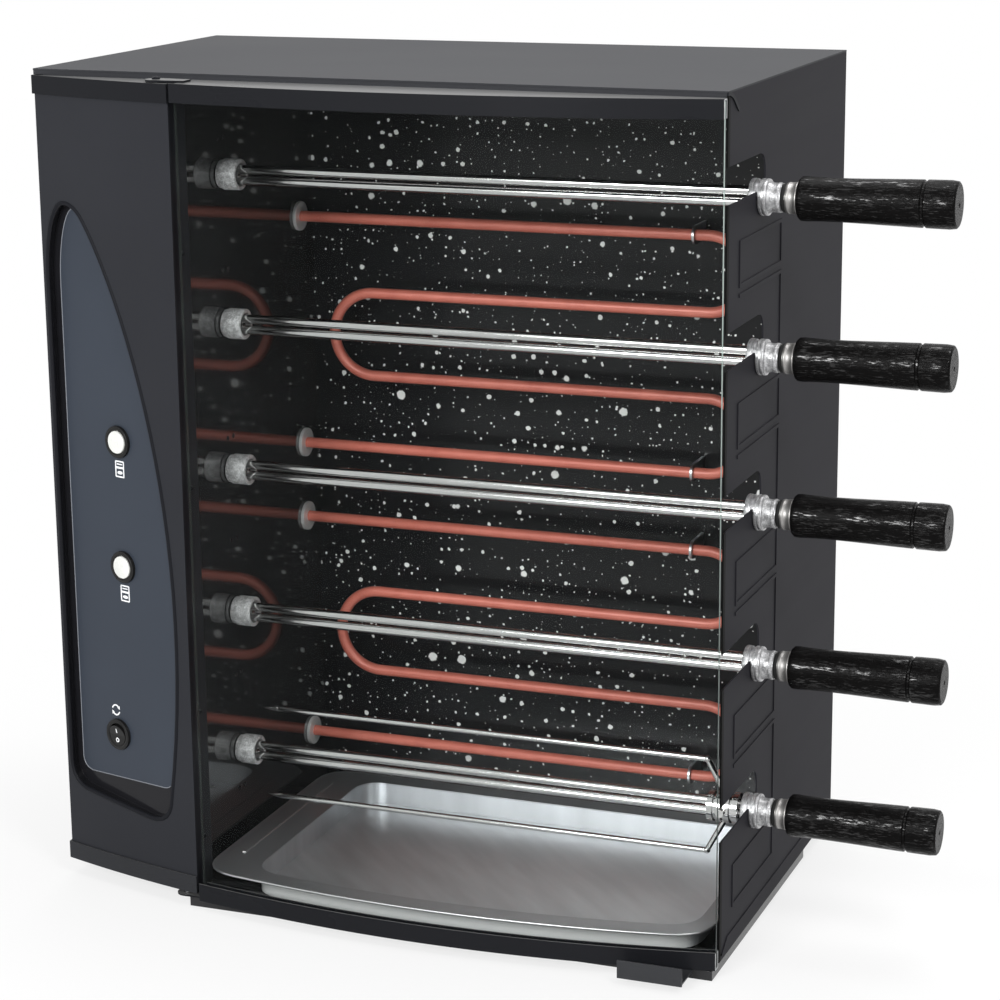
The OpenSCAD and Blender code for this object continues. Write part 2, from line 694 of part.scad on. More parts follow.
// Plan of the tray, inset from its outer edges, with a front edge that follows the front arc
function tray_plan(inset, left, right, r) = let (
    x0 = tray_left + left,
    x1 = tray_right - right,
    y1 = tray_back - inset,
    edge = function (x) front_y(x, tray_gap + inset))
    concat(
        corner([x0, edge(x0) + r], [x0, edge(x0)], [x0 + r, edge(x0 + r)]),
        [for (k = [1:15]) let (x = x0 + r + (x1 - x0 - 2 * r) * k / 16) [x, edge(x)]],
        corner([x1 - r, edge(x1 - r)], [x1, edge(x1)], [x1, edge(x1) + r]),
        corner([x1, y1 - r], [x1, y1], [x1 - r, y1]),
        corner([x0 + r, y1], [x0, y1], [x0, y1 - r]));

module drip_tray() color([0.72, 0.73, 0.74]) cabinet_frame() {
    difference() {
        union() {
            plate(tray_plan(0, 0, 0, tray_corner_r), tray_rim_z - tray_t, tray_rim_z);
            plate(tray_plan(tray_rim_w - tray_t, tray_left_rim - tray_t, tray_right_rim - tray_t,
                            tray_corner_r - 4), tray_floor, tray_rim_z - 0.5);
        }
        plate(tray_plan(tray_rim_w, tray_left_rim, tray_right_rim, tray_corner_r - 5),
              tray_floor + tray_t, tray_rim_z + 1);
    }
    block(tray_left + 13, tray_left + 16, 40, tray_back - 30, tray_rim_z - 0.1, tray_rim_z + 0.8);
}

module tray_runners() color([0.13, 0.13, 0.14]) cabinet_frame()
    for (x = [tray_left + tray_left_rim + 12, tray_right - tray_right_rim - 24])
        block(x, x + 4, 40, tray_back - 4, sheet_t, tray_floor - clear_gap);

// ---- Heating elements ----

// Half a turn of tube that joins two runs, opening towards -X or +X
module tube_turn(x, z_low, z_high, side)
    translate([x, element_y, (z_low + z_high) / 2]) rotate([90, 0, 0])
        rotate([0, 0, side > 0 ? -90 : 90])
            rotate_extrude(angle = 180, $fn = 64)
                translate([(z_high - z_low) / 2, 0]) circle(d = tube_d, $fn = 24);

module element(top) {
    runs = [0, right_turn, right_turn + left_turn, 2 * right_turn + left_turn];
    for (k = [0:3])
        bar_x(tube_d, k % 3 == 0 ? terminal_left : element_left, element_right, element_y,
              top - runs[k], 24);
    tube_turn(element_right, top - runs[1], top - runs[0], 1);
    tube_turn(element_left, top - runs[2], top - runs[1], -1);
    tube_turn(element_right, top - runs[3], top - runs[2], 1);
}

module upper_element() color([0.55, 0.16, 0.10]) cabinet_frame() element(element_top);

module lower_element() color([0.55, 0.16, 0.10]) cabinet_frame() element(element_top - element_pitch);

module element_flanges() color([0.75, 0.75, 0.76]) cabinet_frame()
    for (z = terminal_heights)
        difference() {
            bar_x(2.75 * tube_d, chamber_x, chamber_x + 2.5, element_y, z);
            bar_x(tube_d + 2 * running_gap, chamber_x - 1, chamber_x + 4, element_y, z);
        }

// Clips that hold each element's right end off the back wall
module element_clips() color([0.5, 0.5, 0.52]) cabinet_frame()
    for (z = terminal_heights)
        difference() {
            union() {
                block(element_right - 12, element_right - 10, element_y, chamber_d,
                      z - 0.85 * tube_d, z + 0.85 * tube_d);
                bar_x(1.7 * tube_d, element_right - 12, element_right - 10, element_y, z);
            }
            bar_x(tube_d + 2 * running_gap, element_right - 13, element_right - 9, element_y, z);
        }

// ---- Drive ----

module gear_carrier() color([0.62, 0.63, 0.64]) cabinet_frame()
    difference() {
        union() {
            block(carrier_left, carrier_right, skewer_y - 22, skewer_y + 22, low_tab, high_tab);
            block(carrier_left, carrier_right, skewer_y, motor_y + 12, motor_z - ear_z - 7,
                  motor_z + ear_z + 7);
            for (z = [low_tab, high_tab - carrier_t])
                block(carrier_left, chamber_x - sheet_t, skewer_y - 22, skewer_y + 22, z, z + carrier_t);
            for (side = [-1, 1])
                bar_x(8, motor_right, carrier_left + 0.1, motor_y, motor_z + side * ear_z);
        }
        for (i = [1:skewer_count])
            bar_x(shaft_d + 4, carrier_left - 1, carrier_right + 1, skewer_y, skewer_z(i));
        for (i = [1:skewer_count - 1])
            bar_x(pin_d, carrier_left - 1, carrier_right + 1, skewer_y, idler_z(i));
    }

// Each idler pin has a head, and a shoulder that stands on the carrier
module idler_pins() color([0.7, 0.7, 0.72]) cabinet_frame()
    for (i = [1:skewer_count - 1]) {
        bar_x(pin_d, gear_left - 2, carrier_right + 2, skewer_y, idler_z(i));
        bar_x(pin_d + 5, gear_left - 2, gear_left - clear_gap, skewer_y, idler_z(i));
        bar_x(pin_d + 4, gear_right + 2 + clear_gap, carrier_left, skewer_y, idler_z(i));
    }

module spindle_bushes() color([0.68, 0.55, 0.30]) cabinet_frame()
    for (i = [1:skewer_count])
        difference() {
            union() {
                bar_x(shaft_d + 4, carrier_left, carrier_right + shaft_d, skewer_y, skewer_z(i));
                bar_x(shaft_d + 9, carrier_right, carrier_right + 2, skewer_y, skewer_z(i));
            }
            bar_x(shaft_d + 2 * running_gap, carrier_left - 1, carrier_right + shaft_d + 1, skewer_y,
                  skewer_z(i));
        }

// Half the angle that a tooth spans at radius r, for pressure angle 20 and a little backlash
function involute(a) = tan(a) * 180 / PI - a;
function tooth_half(r, pitch_r, base_r, teeth) =
    90 / teeth - 0.35 + involute(20) - involute(acos(min(1, base_r / max(r, base_r))));

// Involute gear outline; first_tooth is the angle of the first tooth
function gear_outline(teeth, first_tooth) = let (
    pitch_r = gear_module * teeth / 2,
    base_r = pitch_r * cos(20),
    root_r = pitch_r - 1.15 * gear_module,
    tip_r = pitch_r + 0.85 * gear_module,
    start_r = max(base_r, root_r),
    radii = [root_r, start_r + 0.01, (start_r + tip_r) / 2, tip_r])
    [for (i = [0:teeth - 1], k = [0:7]) let (
        rising = k < 4,
        r = radii[rising ? k : 7 - k],
        a = first_tooth + 360 * i / teeth + (rising ? -1 : 1) * tooth_half(r, pitch_r, base_r, teeth))
        r * [cos(a), sin(a)]];

// A gear on an axis along X, with its bore and a hub to its right
module gear_x(teeth, first_tooth, bore, y, z)
    translate([gear_left, y, z]) rotate([90, 0, 90])
        difference() {
            union() {
                linear_extrude(gear_w) polygon(gear_outline(teeth, first_tooth));
                cylinder(d = bore + 8, h = gear_w + 2, $fn = round_fn);
            }
            translate([0, 0, -1]) cylinder(d = bore, h = gear_w + 4, $fn = round_fn);
        }

module socket_gear(i) color([0.82, 0.80, 0.72]) cabinet_frame()
    gear_x(socket_teeth, 90, shaft_d, skewer_y, skewer_z(i));

module idler_gear(i) color([0.35, 0.42, 0.5]) cabinet_frame()
    gear_x(idler_teeth, 90 + 180 / idler_teeth, pin_d + 2 * running_gap, skewer_y, idler_z(i));

module motor_pinion() color([0.66, 0.58, 0.35]) cabinet_frame() {
    gear_x(pinion_teeth, 180, 6, motor_y, motor_z);
    bar_x(6, motor_right - 10, gear_right + 2, motor_y, motor_z);
}

module gear_motor() color([0.55, 0.55, 0.57]) cabinet_frame()
    difference() {
        union() {
            bar_x(motor_d, motor_right - motor_l, motor_right - 2, motor_y, motor_z, 64);
            bar_x(18, motor_right - 2, motor_right + 2, motor_y, motor_z);
            block(motor_right - 3, motor_right, motor_y - 8, motor_y + 8, motor_z - ear_z - 6,
                  motor_z + ear_z + 6);
        }
        bar_x(6 + 2 * running_gap, motor_right - 12, motor_right + 3, motor_y, motor_z);
    }

// ---- Skewers ----

// The flat lug at a skewer's tip, and with some play the pocket that drives it
module tip_lug(i, gap, l)
    block(socket_left + 3, socket_left + 3 + l,
          skewer_y - lug_w / 2 - gap, skewer_y + lug_w / 2 + gap,
          skewer_z(i) - lug_h / 2 - gap, skewer_z(i) + lug_h / 2 + gap);

module drive_socket(i) color([0.66, 0.67, 0.68]) cabinet_frame() {
    difference() {
        union() {
            bar_x(socket_d - 2, socket_left, socket_left + 4, skewer_y, skewer_z(i));
            bar_x(socket_d, socket_left + 3, socket_mouth, skewer_y, skewer_z(i));
        }
        bar_x(socket_bore, socket_left + 6, socket_mouth + 1, skewer_y, skewer_z(i));
        tip_lug(i, running_gap, 7);
    }
    bar_x(shaft_d, gear_left - 1, socket_left + 1, skewer_y, skewer_z(i));
}

// Twin rods, the tip lug in the socket, the grooved collar and the ferrule
module skewer(i) color([0.78, 0.79, 0.80]) cabinet_frame() {
    for (side = [-1, 1])
        bar_x(rod_d, socket_left + 9, collar_left + 0.1, skewer_y, skewer_z(i) + side * rod_pitch / 2, 24);
    tip_lug(i, 0, 11);
    bar_x(collar_d, collar_left, neck_left, skewer_y, skewer_z(i));
    bar_x(neck_d, neck_left - 0.1, neck_right + 0.1, skewer_y, skewer_z(i));
    bar_x(collar_d, neck_right, neck_right + 5.5, skewer_y, skewer_z(i));
    bar_x(collar_d - 5, neck_right + 5.4, neck_right + 14.5, skewer_y, skewer_z(i));
    bar_x(collar_d - 11, neck_right + 14.4, ferrule_left + 0.1, skewer_y, skewer_z(i));
    translate([ferrule_left, skewer_y, skewer_z(i)]) rotate([0, 90, 0])
        cylinder(d1 = collar_d - 4, d2 = collar_d - 2.5, h = 8, $fn = round_fn);
    bar_x(6, handle_left - 0.1, handle_left + grip_pin_l, skewer_y, skewer_z(i), 24);
}

// Turned wooden handle: shoulder, waist, swelling and a ring groove near the end
function handle_r(t) = handle_d / 2 - 0.75 * (1 - t)
    - ((handle_d - waist_d) / 2 - 0.56) * pow(sin(180 * sqrt(t)), 2);

module handle(i) color([0.06, 0.06, 0.06]) cabinet_frame()
    translate([handle_left, skewer_y, skewer_z(i)]) rotate([0, 90, 0])
        difference() {
            rotate_extrude($fn = round_fn)
                polygon(concat(
                    [[0, 0], [handle_r(0) - 4, 0], [handle_r(0) - 2, 0.6], [handle_r(0) - 0.6, 2]],
                    [for (k = [1:15]) let (t = k / 20) [handle_r(t), handle_l * t]],
                    [[handle_r(0.78), handle_l * 0.78], [handle_r(0.785) - 1, handle_l * 0.785],
                     [handle_r(0.8) - 1, handle_l * 0.8], [handle_r(0.805), handle_l * 0.805]],
                    [for (k = [17:19]) let (t = k / 20) [handle_r(t), handle_l * t]],
                    [[handle_r(1) - 0.6, handle_l - 1], [handle_r(1) - 2, handle_l], [0, handle_l]]));
            translate([0, 0, -1]) cylinder(d = 6 + 2 * running_gap, h = grip_pin_l + 2, $fn = 24);
            translate([0, 0, handle_l - 6]) cylinder(d = 3, h = 7, $fn = 24);
        }

// Fork for a whole roast: a clamp round the rods, a bolt and two long prongs
module skewer_fork() color([0.74, 0.75, 0.76]) cabinet_frame() {
    z = skewer_z(skewer_count);
    bend_x = fork_left - 2;
    tip_x = socket_mouth + 4.5 * prong_d;
    difference() {
        union() {
            for (k = [0:3]) bar_x(collar_d - 2, fork_left + 6 * k, fork_left + 6 * k + 4, skewer_y, z);
            bar_x(collar_d - 5, fork_left, fork_right, skewer_y, z);
            translate([(fork_left + fork_right) / 2, skewer_y, z]) rotate([90, 0, 0])
                cylinder(d = pin_d + 1, h = collar_d / 2 + 3, $fn = 24);
        }
        for (side = [-1, 1])
            bar_x(rod_d + 2 * running_gap, fork_left - 1, fork_right + 1, skewer_y,
                  z + side * rod_pitch / 2, 24);
    }
    for (side = [-1, 1]) {
        translate([bend_x, skewer_y, z + side * prong_r]) {
            sphere(d = prong_d + 1, $fn = 24);
            rotate([0, side > 0 ? 152 : 28, 0]) cylinder(d = prong_d, h = 28, $fn = 24);
        }
        bar_x(prong_d, tip_x, bend_x, skewer_y, z + side * prong_r, 24);
        translate([tip_x, skewer_y, z + side * prong_r]) rotate([0, -90, 0])
            cylinder(d1 = prong_d, d2 = 0.2 * prong_d, h = 3 * prong_d, $fn = 24);
    }
}

// ---- Feet and cord outlet ----

module rubber_feet() color([0.07, 0.07, 0.07]) cabinet_frame()
    for (at = [[foot_inset, 2.3 * foot_inset], [foot_inset, cabinet_d - foot_inset],
               [cabinet_w - foot_inset, cabinet_d - foot_inset]])
        translate([at[0], at[1], 0]) difference() {
            cylinder(d1 = 17, d2 = 20, h = column_floor, $fn = round_fn);
            translate([0, 0, -1]) cylinder(d = 6, h = 5, $fn = 24);
        }

module cord_gland() color([0.05, 0.05, 0.05]) cabinet_frame()
    translate([gland_x, cabinet_d, gland_z]) rotate([-90, 0, 0])
        difference() {
            union() {
                cylinder(d = 22, h = 2, $fn = round_fn);
                translate([0, 0, 1.9]) cylinder(d1 = 18, d2 = 13, h = 8, $fn = round_fn);
                translate([0, 0, -sheet_t - 5]) cylinder(d = 15.8, h = sheet_t + 5.1, $fn = round_fn);
                translate([0, 0, -sheet_t - 4]) cylinder(d = 20, h = 4, $fn = round_fn);
            }
            translate([0, 0, -20]) cylinder(d = 7.5, h = 40, $fn = round_fn);
        }

roof_cover();
left_side_panel();
back_cover();
slotted_side_wall();
chamber_left_wall();
chamber_back_wall();
base_pan();
column_fascia();
column_top_cap();
column_bottom_cap();
control_recess();
control_panel();
switch_housings();
upper_element();
lower_element();
element_flanges();
element_clips();
gear_carrier();
idler_pins();
spindle_bushes();
gear_motor();
hinge_pins();
tray_runners();
rubber_feet();
cord_gland();
door_top_rail();
door_bottom_rail();
door_glass();
door_pull();
drip_tray();
upper_button();
lower_button();
rocker();
motor_pinion();
skewer_fork();
for (i = [1:skewer_count - 1])
    idler_gear(i);
for (i = [1:skewer_count]) {
    drive_socket(i);
    socket_gear(i);
    skewer(i);
    handle(i);
}
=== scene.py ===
# %% [markdown]
# # An electric skewer grill, dressed for its portrait
# The grill is a folded sheet-metal cabinet with a curved glass door. Five skewers with black
# wooden handles turn inside it, in front of red heating tubes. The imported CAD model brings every
# solid and every joint. This lesson adds what a photograph shows and a solid can't: paint,
# enamel, cast metal, lacquered wood, small screws, printed signs and soft edges.

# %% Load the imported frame
import math

import bmesh
import bpy
from mathutils import Matrix, Vector


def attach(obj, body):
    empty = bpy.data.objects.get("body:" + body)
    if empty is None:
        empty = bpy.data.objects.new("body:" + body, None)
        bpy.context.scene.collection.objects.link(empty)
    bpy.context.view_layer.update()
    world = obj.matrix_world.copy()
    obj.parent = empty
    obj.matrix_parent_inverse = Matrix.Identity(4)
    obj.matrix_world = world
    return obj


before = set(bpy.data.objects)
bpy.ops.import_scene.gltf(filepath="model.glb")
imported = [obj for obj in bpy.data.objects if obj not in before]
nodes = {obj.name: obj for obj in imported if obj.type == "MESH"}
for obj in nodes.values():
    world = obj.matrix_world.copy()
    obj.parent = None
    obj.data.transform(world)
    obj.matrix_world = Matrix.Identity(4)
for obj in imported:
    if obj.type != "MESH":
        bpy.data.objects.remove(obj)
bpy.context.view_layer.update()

SKEWERS = range(1, 6)

# %% [markdown]
# ## One corner to measure from
# The maker's drawing measures from the cabinet's left side, the right end of the front arc and
# the floor, in millimetres. Blender works in metres from the middle of the cabinet, so one small
# function turns a place in the drawing into a place in the scene.

# %% Drawing coordinates
MM = 0.001
WIDTH, DEPTH = 510.0, 312.0


def at(x, y, z):
    """A place in the drawing (mm from the left side, the arc's end and the floor), in metres."""
    return Vector(((x - WIDTH / 2) * MM, (y - DEPTH / 2) * MM, z * MM))


print("front right foot of the drawing is at", tuple(round(v, 4) for v in at(WIDTH, 0, 0)))

# %% [markdown]
# ## The front arc
# Door, rails and column caps lie on one circle. Three numbers fix it: the width, how far the left
# front corner stands back, and how far the arc bulges over the straight line between the corners.

# %% Front arc
CORNER_SETBACK = 26.0
FRONT_BULGE = 35.5
chord = math.hypot(WIDTH, CORNER_SETBACK)
ARC_R = (chord**2 / 4 + FRONT_BULGE**2) / (2 * FRONT_BULGE)
ARC_X = WIDTH / 2 + CORNER_SETBACK / chord * (ARC_R - FRONT_BULGE)
ARC_Y = CORNER_SETBACK / 2 + WIDTH / chord * (ARC_R - FRONT_BULGE)


def front_y(x, inset=0.0):
    """How far back the front arc, or an arc inset from it, lies at x, in drawing millimetres."""
    return ARC_Y - math.sqrt((ARC_R - inset) ** 2 - (x - ARC_X) ** 2)


print(f"front arc radius {ARC_R:.1f} mm, nearest point y = {front_y(ARC_X):.1f} mm")

# %% [markdown]
# ## The camera
# The photograph was taken from the right and a little above with a long lens. These numbers came
# from fitting a camera to the cabinet's corners, so the render and the photograph line up.

# %% Camera
YAW, PITCH, ROLL = math.radians(21.04), math.radians(14.24), math.radians(-0.55)
CAMERA_PLACE = (0.7448, -1.8280, 0.7795)
SENSOR_MM, FOCAL_MM = 36.0, 99.52
look = Vector((-math.sin(YAW) * math.cos(PITCH), math.cos(YAW) * math.cos(PITCH), -math.sin(PITCH)))
level = Vector((math.cos(YAW), math.sin(YAW), 0))
upright = level.cross(look)
right = level * math.cos(ROLL) + upright * math.sin(ROLL)
up = upright * math.cos(ROLL) - level * math.sin(ROLL)

lens = bpy.data.cameras.new("portrait_lens")
lens.sensor_width = SENSOR_MM
lens.lens = FOCAL_MM
camera = bpy.data.objects.new("portrait_camera", lens)
turn = Matrix((right, up, -look)).transposed().to_4x4()
camera.matrix_world = Matrix.Translation(CAMERA_PLACE) @ turn
bpy.context.scene.collection.objects.link(camera)
bpy.context.scene.camera = camera
bpy.context.scene.view_settings.view_transform = "Standard"
print(f"lens {lens.lens} mm, camera at {tuple(camera.location)}")

# %% [markdown]
# ## Shader maths that reads like maths
# A material is a graph of nodes, and arithmetic on its sockets is easier to read as Python. A
# `Wire` is one output socket. Adding, multiplying or comparing wires adds Math nodes to the graph
# that the socket belongs to.

# %% Wire
class Wire:
    """One output socket that takes part in sums."""

    def __init__(self, graph, socket):
        self.graph = graph
        self.socket = socket

    def maths(self, operation, first, second):
        return self.graph.node("ShaderNodeMath", {"operation": operation}, {0: first, 1: second})

    def __add__(self, other):
        return self.maths("ADD", self, other)

    __radd__ = __add__

    def __sub__(self, other):
        return self.maths("SUBTRACT", self, other)

    def __rsub__(self, other):
        return self.maths("SUBTRACT", other, self)

    def __mul__(self, other):
        return self.maths("MULTIPLY", self, other)

    __rmul__ = __mul__

    def __pow__(self, other):
        return self.maths("POWER", self, other)

    def __lt__(self, other):
        return self.maths("LESS_THAN", self, other)

    def __gt__(self, other):
        return self.maths("GREATER_THAN", self, other)

    def clamped(self):
        return self.graph.node("ShaderNodeClamp", {}, {"Value": self})


print("wires ready")

# %% [markdown]
# A `Graph` is a tree of nodes, of a material or of the world. Its `node` method makes any node from
# its type, its settings and the values or wires of its inputs, so no other line makes one.

# %% Graph
class Graph:
    """A tree of shader nodes."""

    def __init__(self, tree):
        self.tree = tree

    def node(self, kind, settings, sockets, output=0):
        made = self.tree.nodes.new(kind)
        for key, value in settings.items():
            setattr(made, key, value)
        for key, value in sockets.items():
            if isinstance(value, Wire):
                self.tree.links.new(value.socket, made.inputs[key])
            else:
                made.inputs[key].default_value = value
        return Wire(self, made.outputs[output])

    def seen_directly(self):
        """1 for what the camera, a mirror or glass sees, and 0 for light that falls on the grill."""
        by_camera = self.node("ShaderNodeLightPath", {}, {}, "Is Camera Ray")
        by_mirror = self.node("ShaderNodeLightPath", {}, {}, "Is Glossy Ray")
        by_glass = self.node("ShaderNodeLightPath", {}, {}, "Is Transmission Ray")
        return (by_camera + by_mirror + by_glass).clamped()


print("graph ready")

# %% [markdown]
# A `Finish` is one material. It knows where a point lies and which way the surface looks, it makes
# noise, soft steps and mixes of colours, and it feeds the results to its shader.

# %% Finish
class Finish(Graph):
    """One material, and the nodes that make it."""

    def __init__(self, name, **fixed):
        self.material = bpy.data.materials.new(name)
        self.material.use_nodes = True
        super().__init__(self.material.node_tree)
        self.shader = self.tree.nodes["Principled BSDF"]
        for key, value in fixed.items():
            self.shader.inputs[key.replace("_", " ")].default_value = value

    def place(self, stretch=(1, 1, 1)):
        """Object coordinates in metres, stretched along each axis."""
        spot = self.node("ShaderNodeTexCoord", {}, {}, "Object")
        return self.node("ShaderNodeVectorMath", {"operation": "MULTIPLY"}, {0: spot, 1: stretch})

    def part(self, vector, axis):
        """One coordinate of a vector."""
        return self.node("ShaderNodeSeparateXYZ", {}, {0: vector}, axis)

    def outward(self, axis):
        """One coordinate of the direction that the surface looks in."""
        return self.part(self.node("ShaderNodeNewGeometry", {}, {}, "Normal"), axis)

    def noise(self, where, scale, detail=2.0, roughness=0.5):
        return self.node(
            "ShaderNodeTexNoise",
            {},
            {"Vector": where, "Scale": scale, "Detail": detail, "Roughness": roughness},
        )

    def ramp(self, value, low, high):
        """0 below low, 1 above high, and a smooth step between."""
        return self.node(
            "ShaderNodeMapRange",
            {"interpolation_type": "SMOOTHSTEP"},
            {"Value": value, "From Min": low, "From Max": high},
        )

    def mix(self, mask, colour_a, colour_b):
        def four(colour):
            return colour if isinstance(colour, Wire) else (*colour, 1)

        return self.node(
            "ShaderNodeMix",
            {"data_type": "RGBA"},
            {0: mask, 6: four(colour_a), 7: four(colour_b)},
            2,
        )

    def feed(self, **wires):
        """Links wires to the shader's sockets."""
        for key, wire in wires.items():
            self.tree.links.new(wire.socket, self.shader.inputs[key.replace("_", " ")])

    def surface(self, wire):
        """Shows another shader than the material's own."""
        self.tree.links.new(wire.socket, self.tree.nodes["Material Output"].inputs["Surface"])

    def bump(self, height, distance, strength=1.0):
        """Feeds the shader's Normal from a height in metres times distance."""
        self.feed(
            Normal=self.node(
                "ShaderNodeBump", {}, {"Height": height, "Distance": distance, "Strength": strength}
            )
        )


print("shader helpers ready")

# %% [markdown]
# ## Painted sheet metal
# The casing is powder painted in near-black. Real powder paint isn't one colour: its surface is a
# little wavy, which breaks up reflections, its gloss drifts, and dust and handling leave faint
# cloudy marks. A dark paint looks only as dark as its skin lets it, so the specular level is low.
# The rails' top faces carry a painted highlight: faces that look up are painted paler, for the light
# they catch from above. The right wall's front edge carries a painted shadow, a black band where the
# door's glass edge shades it. One function makes every shade that the cabinet needs.

# %% Paint
# Black of the painted shadow along the right wall's front edge.
PAINTED_SHADOW_BLACK = (0.002, 0.002, 0.002)


def powder_paint(name, colour, roughness, waviness=0.00003, shine=0.25, top_highlight=0.0, shadow_y=None):
    """Paint with a painted highlight, a grey level, on its upward faces, and a painted shadow, a black
    band in front of a given depth.
    """
    paint = Finish(name, Specular_IOR_Level=shine)
    spot = paint.place()
    cloud = paint.noise(spot, 7.0, 4.0)
    grain = paint.noise(spot, 2600.0, 1.0)
    wipe = paint.noise(paint.place((3, 3, 40)), 1.4, 3.0)
    lighter = tuple(c * 1.28 + 0.001 for c in colour)
    darker = tuple(c * 0.80 for c in colour)
    tone = (cloud * 0.7 + grain * 0.3).clamped()
    skin = paint.mix(tone, darker, lighter)
    # Painted highlight: faces that look up get a paler grey, for the light they catch from above.
    if top_highlight:
        skin = paint.mix(paint.ramp(paint.outward("Z"), 0.85, 0.98), skin, (top_highlight, top_highlight, top_highlight))
    # Painted shadow: a black band in front of the given depth, where the door's glass edge shades the
    # wall.
    if shadow_y is not None:
        skin = paint.mix(paint.part(spot, "Y") < at(0, shadow_y, 0).y, skin, PAINTED_SHADOW_BLACK)
    paint.feed(Base_Color=skin)
    paint.feed(Roughness=(roughness - 0.06 + cloud * 0.08 + wipe * 0.05).clamped())
    paint.bump(paint.noise(spot, 620.0, 2.0), waviness)
    return paint.material


column_paint = powder_paint("charcoal_column_paint", (0.0215, 0.0225, 0.0265), 0.40, shine=0.06)
roof_paint = powder_paint("satin_roof_paint", (0.030, 0.031, 0.035), 0.55, shine=0.12)
side_paint = powder_paint("satin_side_paint", (0.018, 0.0175, 0.0215), 0.60, shine=0.07)
# The wall paint carries the painted shadow. The rail and cap paints carry the painted highlight on
# their upward faces.
wall_paint = powder_paint("satin_wall_paint", (0.018, 0.0175, 0.0215), 0.60, shine=0.07, shadow_y=12.5)
rail_paint = powder_paint("charcoal_rail_paint", (0.0100, 0.0105, 0.0125), 0.28, shine=0.07, top_highlight=0.13)
pull_paint = powder_paint("charcoal_pull_paint", (0.030, 0.031, 0.034), 0.28, shine=0.15)
cap_paint = powder_paint("charcoal_cap_paint", (0.024, 0.025, 0.028), 0.28, shine=0.08, top_highlight=0.06)
rim_paint = powder_paint("satin_rim_paint", (0.0090, 0.0095, 0.0120), 0.45, shine=0.06)
panel_paint = powder_paint("blue_grey_panel_paint", (0.030, 0.037, 0.050), 0.42, 0.00001, 0.16)
panel_rim = powder_paint("panel_rim_paint", (0.16, 0.17, 0.19), 0.25, 0.00001, 0.5)
# A pale grey for the rails' cut ends, a painted highlight.
rail_end_highlight = powder_paint("painted_highlight_rail_end", (0.36, 0.37, 0.38), 0.30, 0.00001, 0.5)
print("paints ready")

# %% [markdown]
# ## Glass enamel
# The inside of the chamber is enamelled: black glass melted onto steel. The left wall is polished
# enough to mirror the sockets and tubes, so it has a strong clear coat. The back wall is flecked
# with white, as enamellers do to hide splashes.

# %% Enamel
def enamel(name, roughness, gloss=0.25, ripple=0.00002):
    glaze = Finish(name, Coat_Roughness=0.05, Coat_Weight=gloss, Specular_IOR_Level=0.2)
    spot = glaze.place()
    cloud = glaze.noise(spot, 9.0, 3.0)
    glaze.feed(
        Base_Color=glaze.mix(cloud, (0.011, 0.011, 0.012), (0.026, 0.026, 0.028)),
        Roughness=(roughness + cloud * 0.06).clamped(),
    )
    glaze.bump(glaze.noise(spot, 60.0, 2.0), ripple)
    return glaze


black_enamel = enamel("black_mirror_enamel", 0.05, 0.6, 0.00004).material
pan_enamel = enamel("black_pan_enamel", 0.24).material
flecked = enamel("white_flecked_enamel", 0.22, 0.1)
print("plain enamels ready")

# %% [markdown]
# The flecks are the cells of a flat Voronoi texture, in three sizes. Each cell is shown only near
# its middle and as big as its own random number allows, so most are dots and a few are blots. A
# little noise added to the place makes their rims ragged, like real sprayed enamel.

# %% Flecks
def flecks(glaze, spot, cell, largest, share):
    """1 on white flecks: one cell in some, each of its own size, in metres."""
    settings = {"feature": "F1", "voronoi_dimensions": "2D"}
    sockets = {"Vector": spot, "Scale": 1 / cell, "Randomness": 1.0}
    distance = glaze.node("ShaderNodeTexVoronoi", settings, sockets, "Distance")
    draw = glaze.node("ShaderNodeTexVoronoi", settings, sockets, "Color")
    luck = glaze.node("ShaderNodeSeparateColor", {}, {0: draw}, 0)
    size = glaze.node("ShaderNodeSeparateColor", {}, {0: draw}, 1)
    radius = (size**3 * 0.75 + 0.25) * (largest / cell) * (luck < share)
    return glaze.ramp(radius - distance, 0.0, 0.04)


wall_x, wall_z = (flecked.part(flecked.place(), axis) for axis in "XZ")
wall_spot = flecked.node("ShaderNodeCombineXYZ", {}, {"X": wall_x, "Y": wall_z})
ragged = flecked.node(
    "ShaderNodeVectorMath",
    {"operation": "MULTIPLY_ADD"},
    {
        0: flecked.node("ShaderNodeTexNoise", {}, {"Vector": wall_spot, "Scale": 420.0}, "Color"),
        1: (0.0020, 0.0020, 0),
        2: wall_spot,
    },
)
fleck_mask = (
    flecks(flecked, ragged, 0.0054, 0.0010, 0.36)
    + flecks(flecked, ragged, 0.0110, 0.0022, 0.62)
    + flecks(flecked, ragged, 0.0260, 0.0042, 0.55)
).clamped()
flecked.feed(Base_Color=flecked.mix(fleck_mask, (0.007, 0.007, 0.008), (0.93, 0.93, 0.92)))
flecked_enamel = flecked.material
print("flecked enamel ready")

# %% [markdown]
# ## Metals
# Chromed rods are almost mirrors. The tray is rolled stainless sheet, whose fine parallel lines
# stretch every highlight. The drive sockets and collars are cast, so their skin is grainy and
# grey, with worn, brighter places. Plated steel, bronze and machined gears need only small changes.

# %% Metals
def rolled_metal(name, colour, roughness, lines=(1, 1, 1), depth=0.000006, drift=0.10, metallic=1.0):
    metal = Finish(name, Metallic=metallic)
    streaks = metal.noise(metal.place(lines), 900.0, 3.0, 0.6)
    cloud = metal.noise(metal.place(), 14.0, 4.0)
    dull = tuple(c * 0.80 for c in colour)
    metal.feed(
        Base_Color=metal.mix(cloud * 0.6 + streaks * 0.4, dull, colour),
        Roughness=(roughness + cloud * drift + streaks * 0.08 - 0.05).clamped(),
    )
    metal.bump(streaks, depth)
    return metal.material


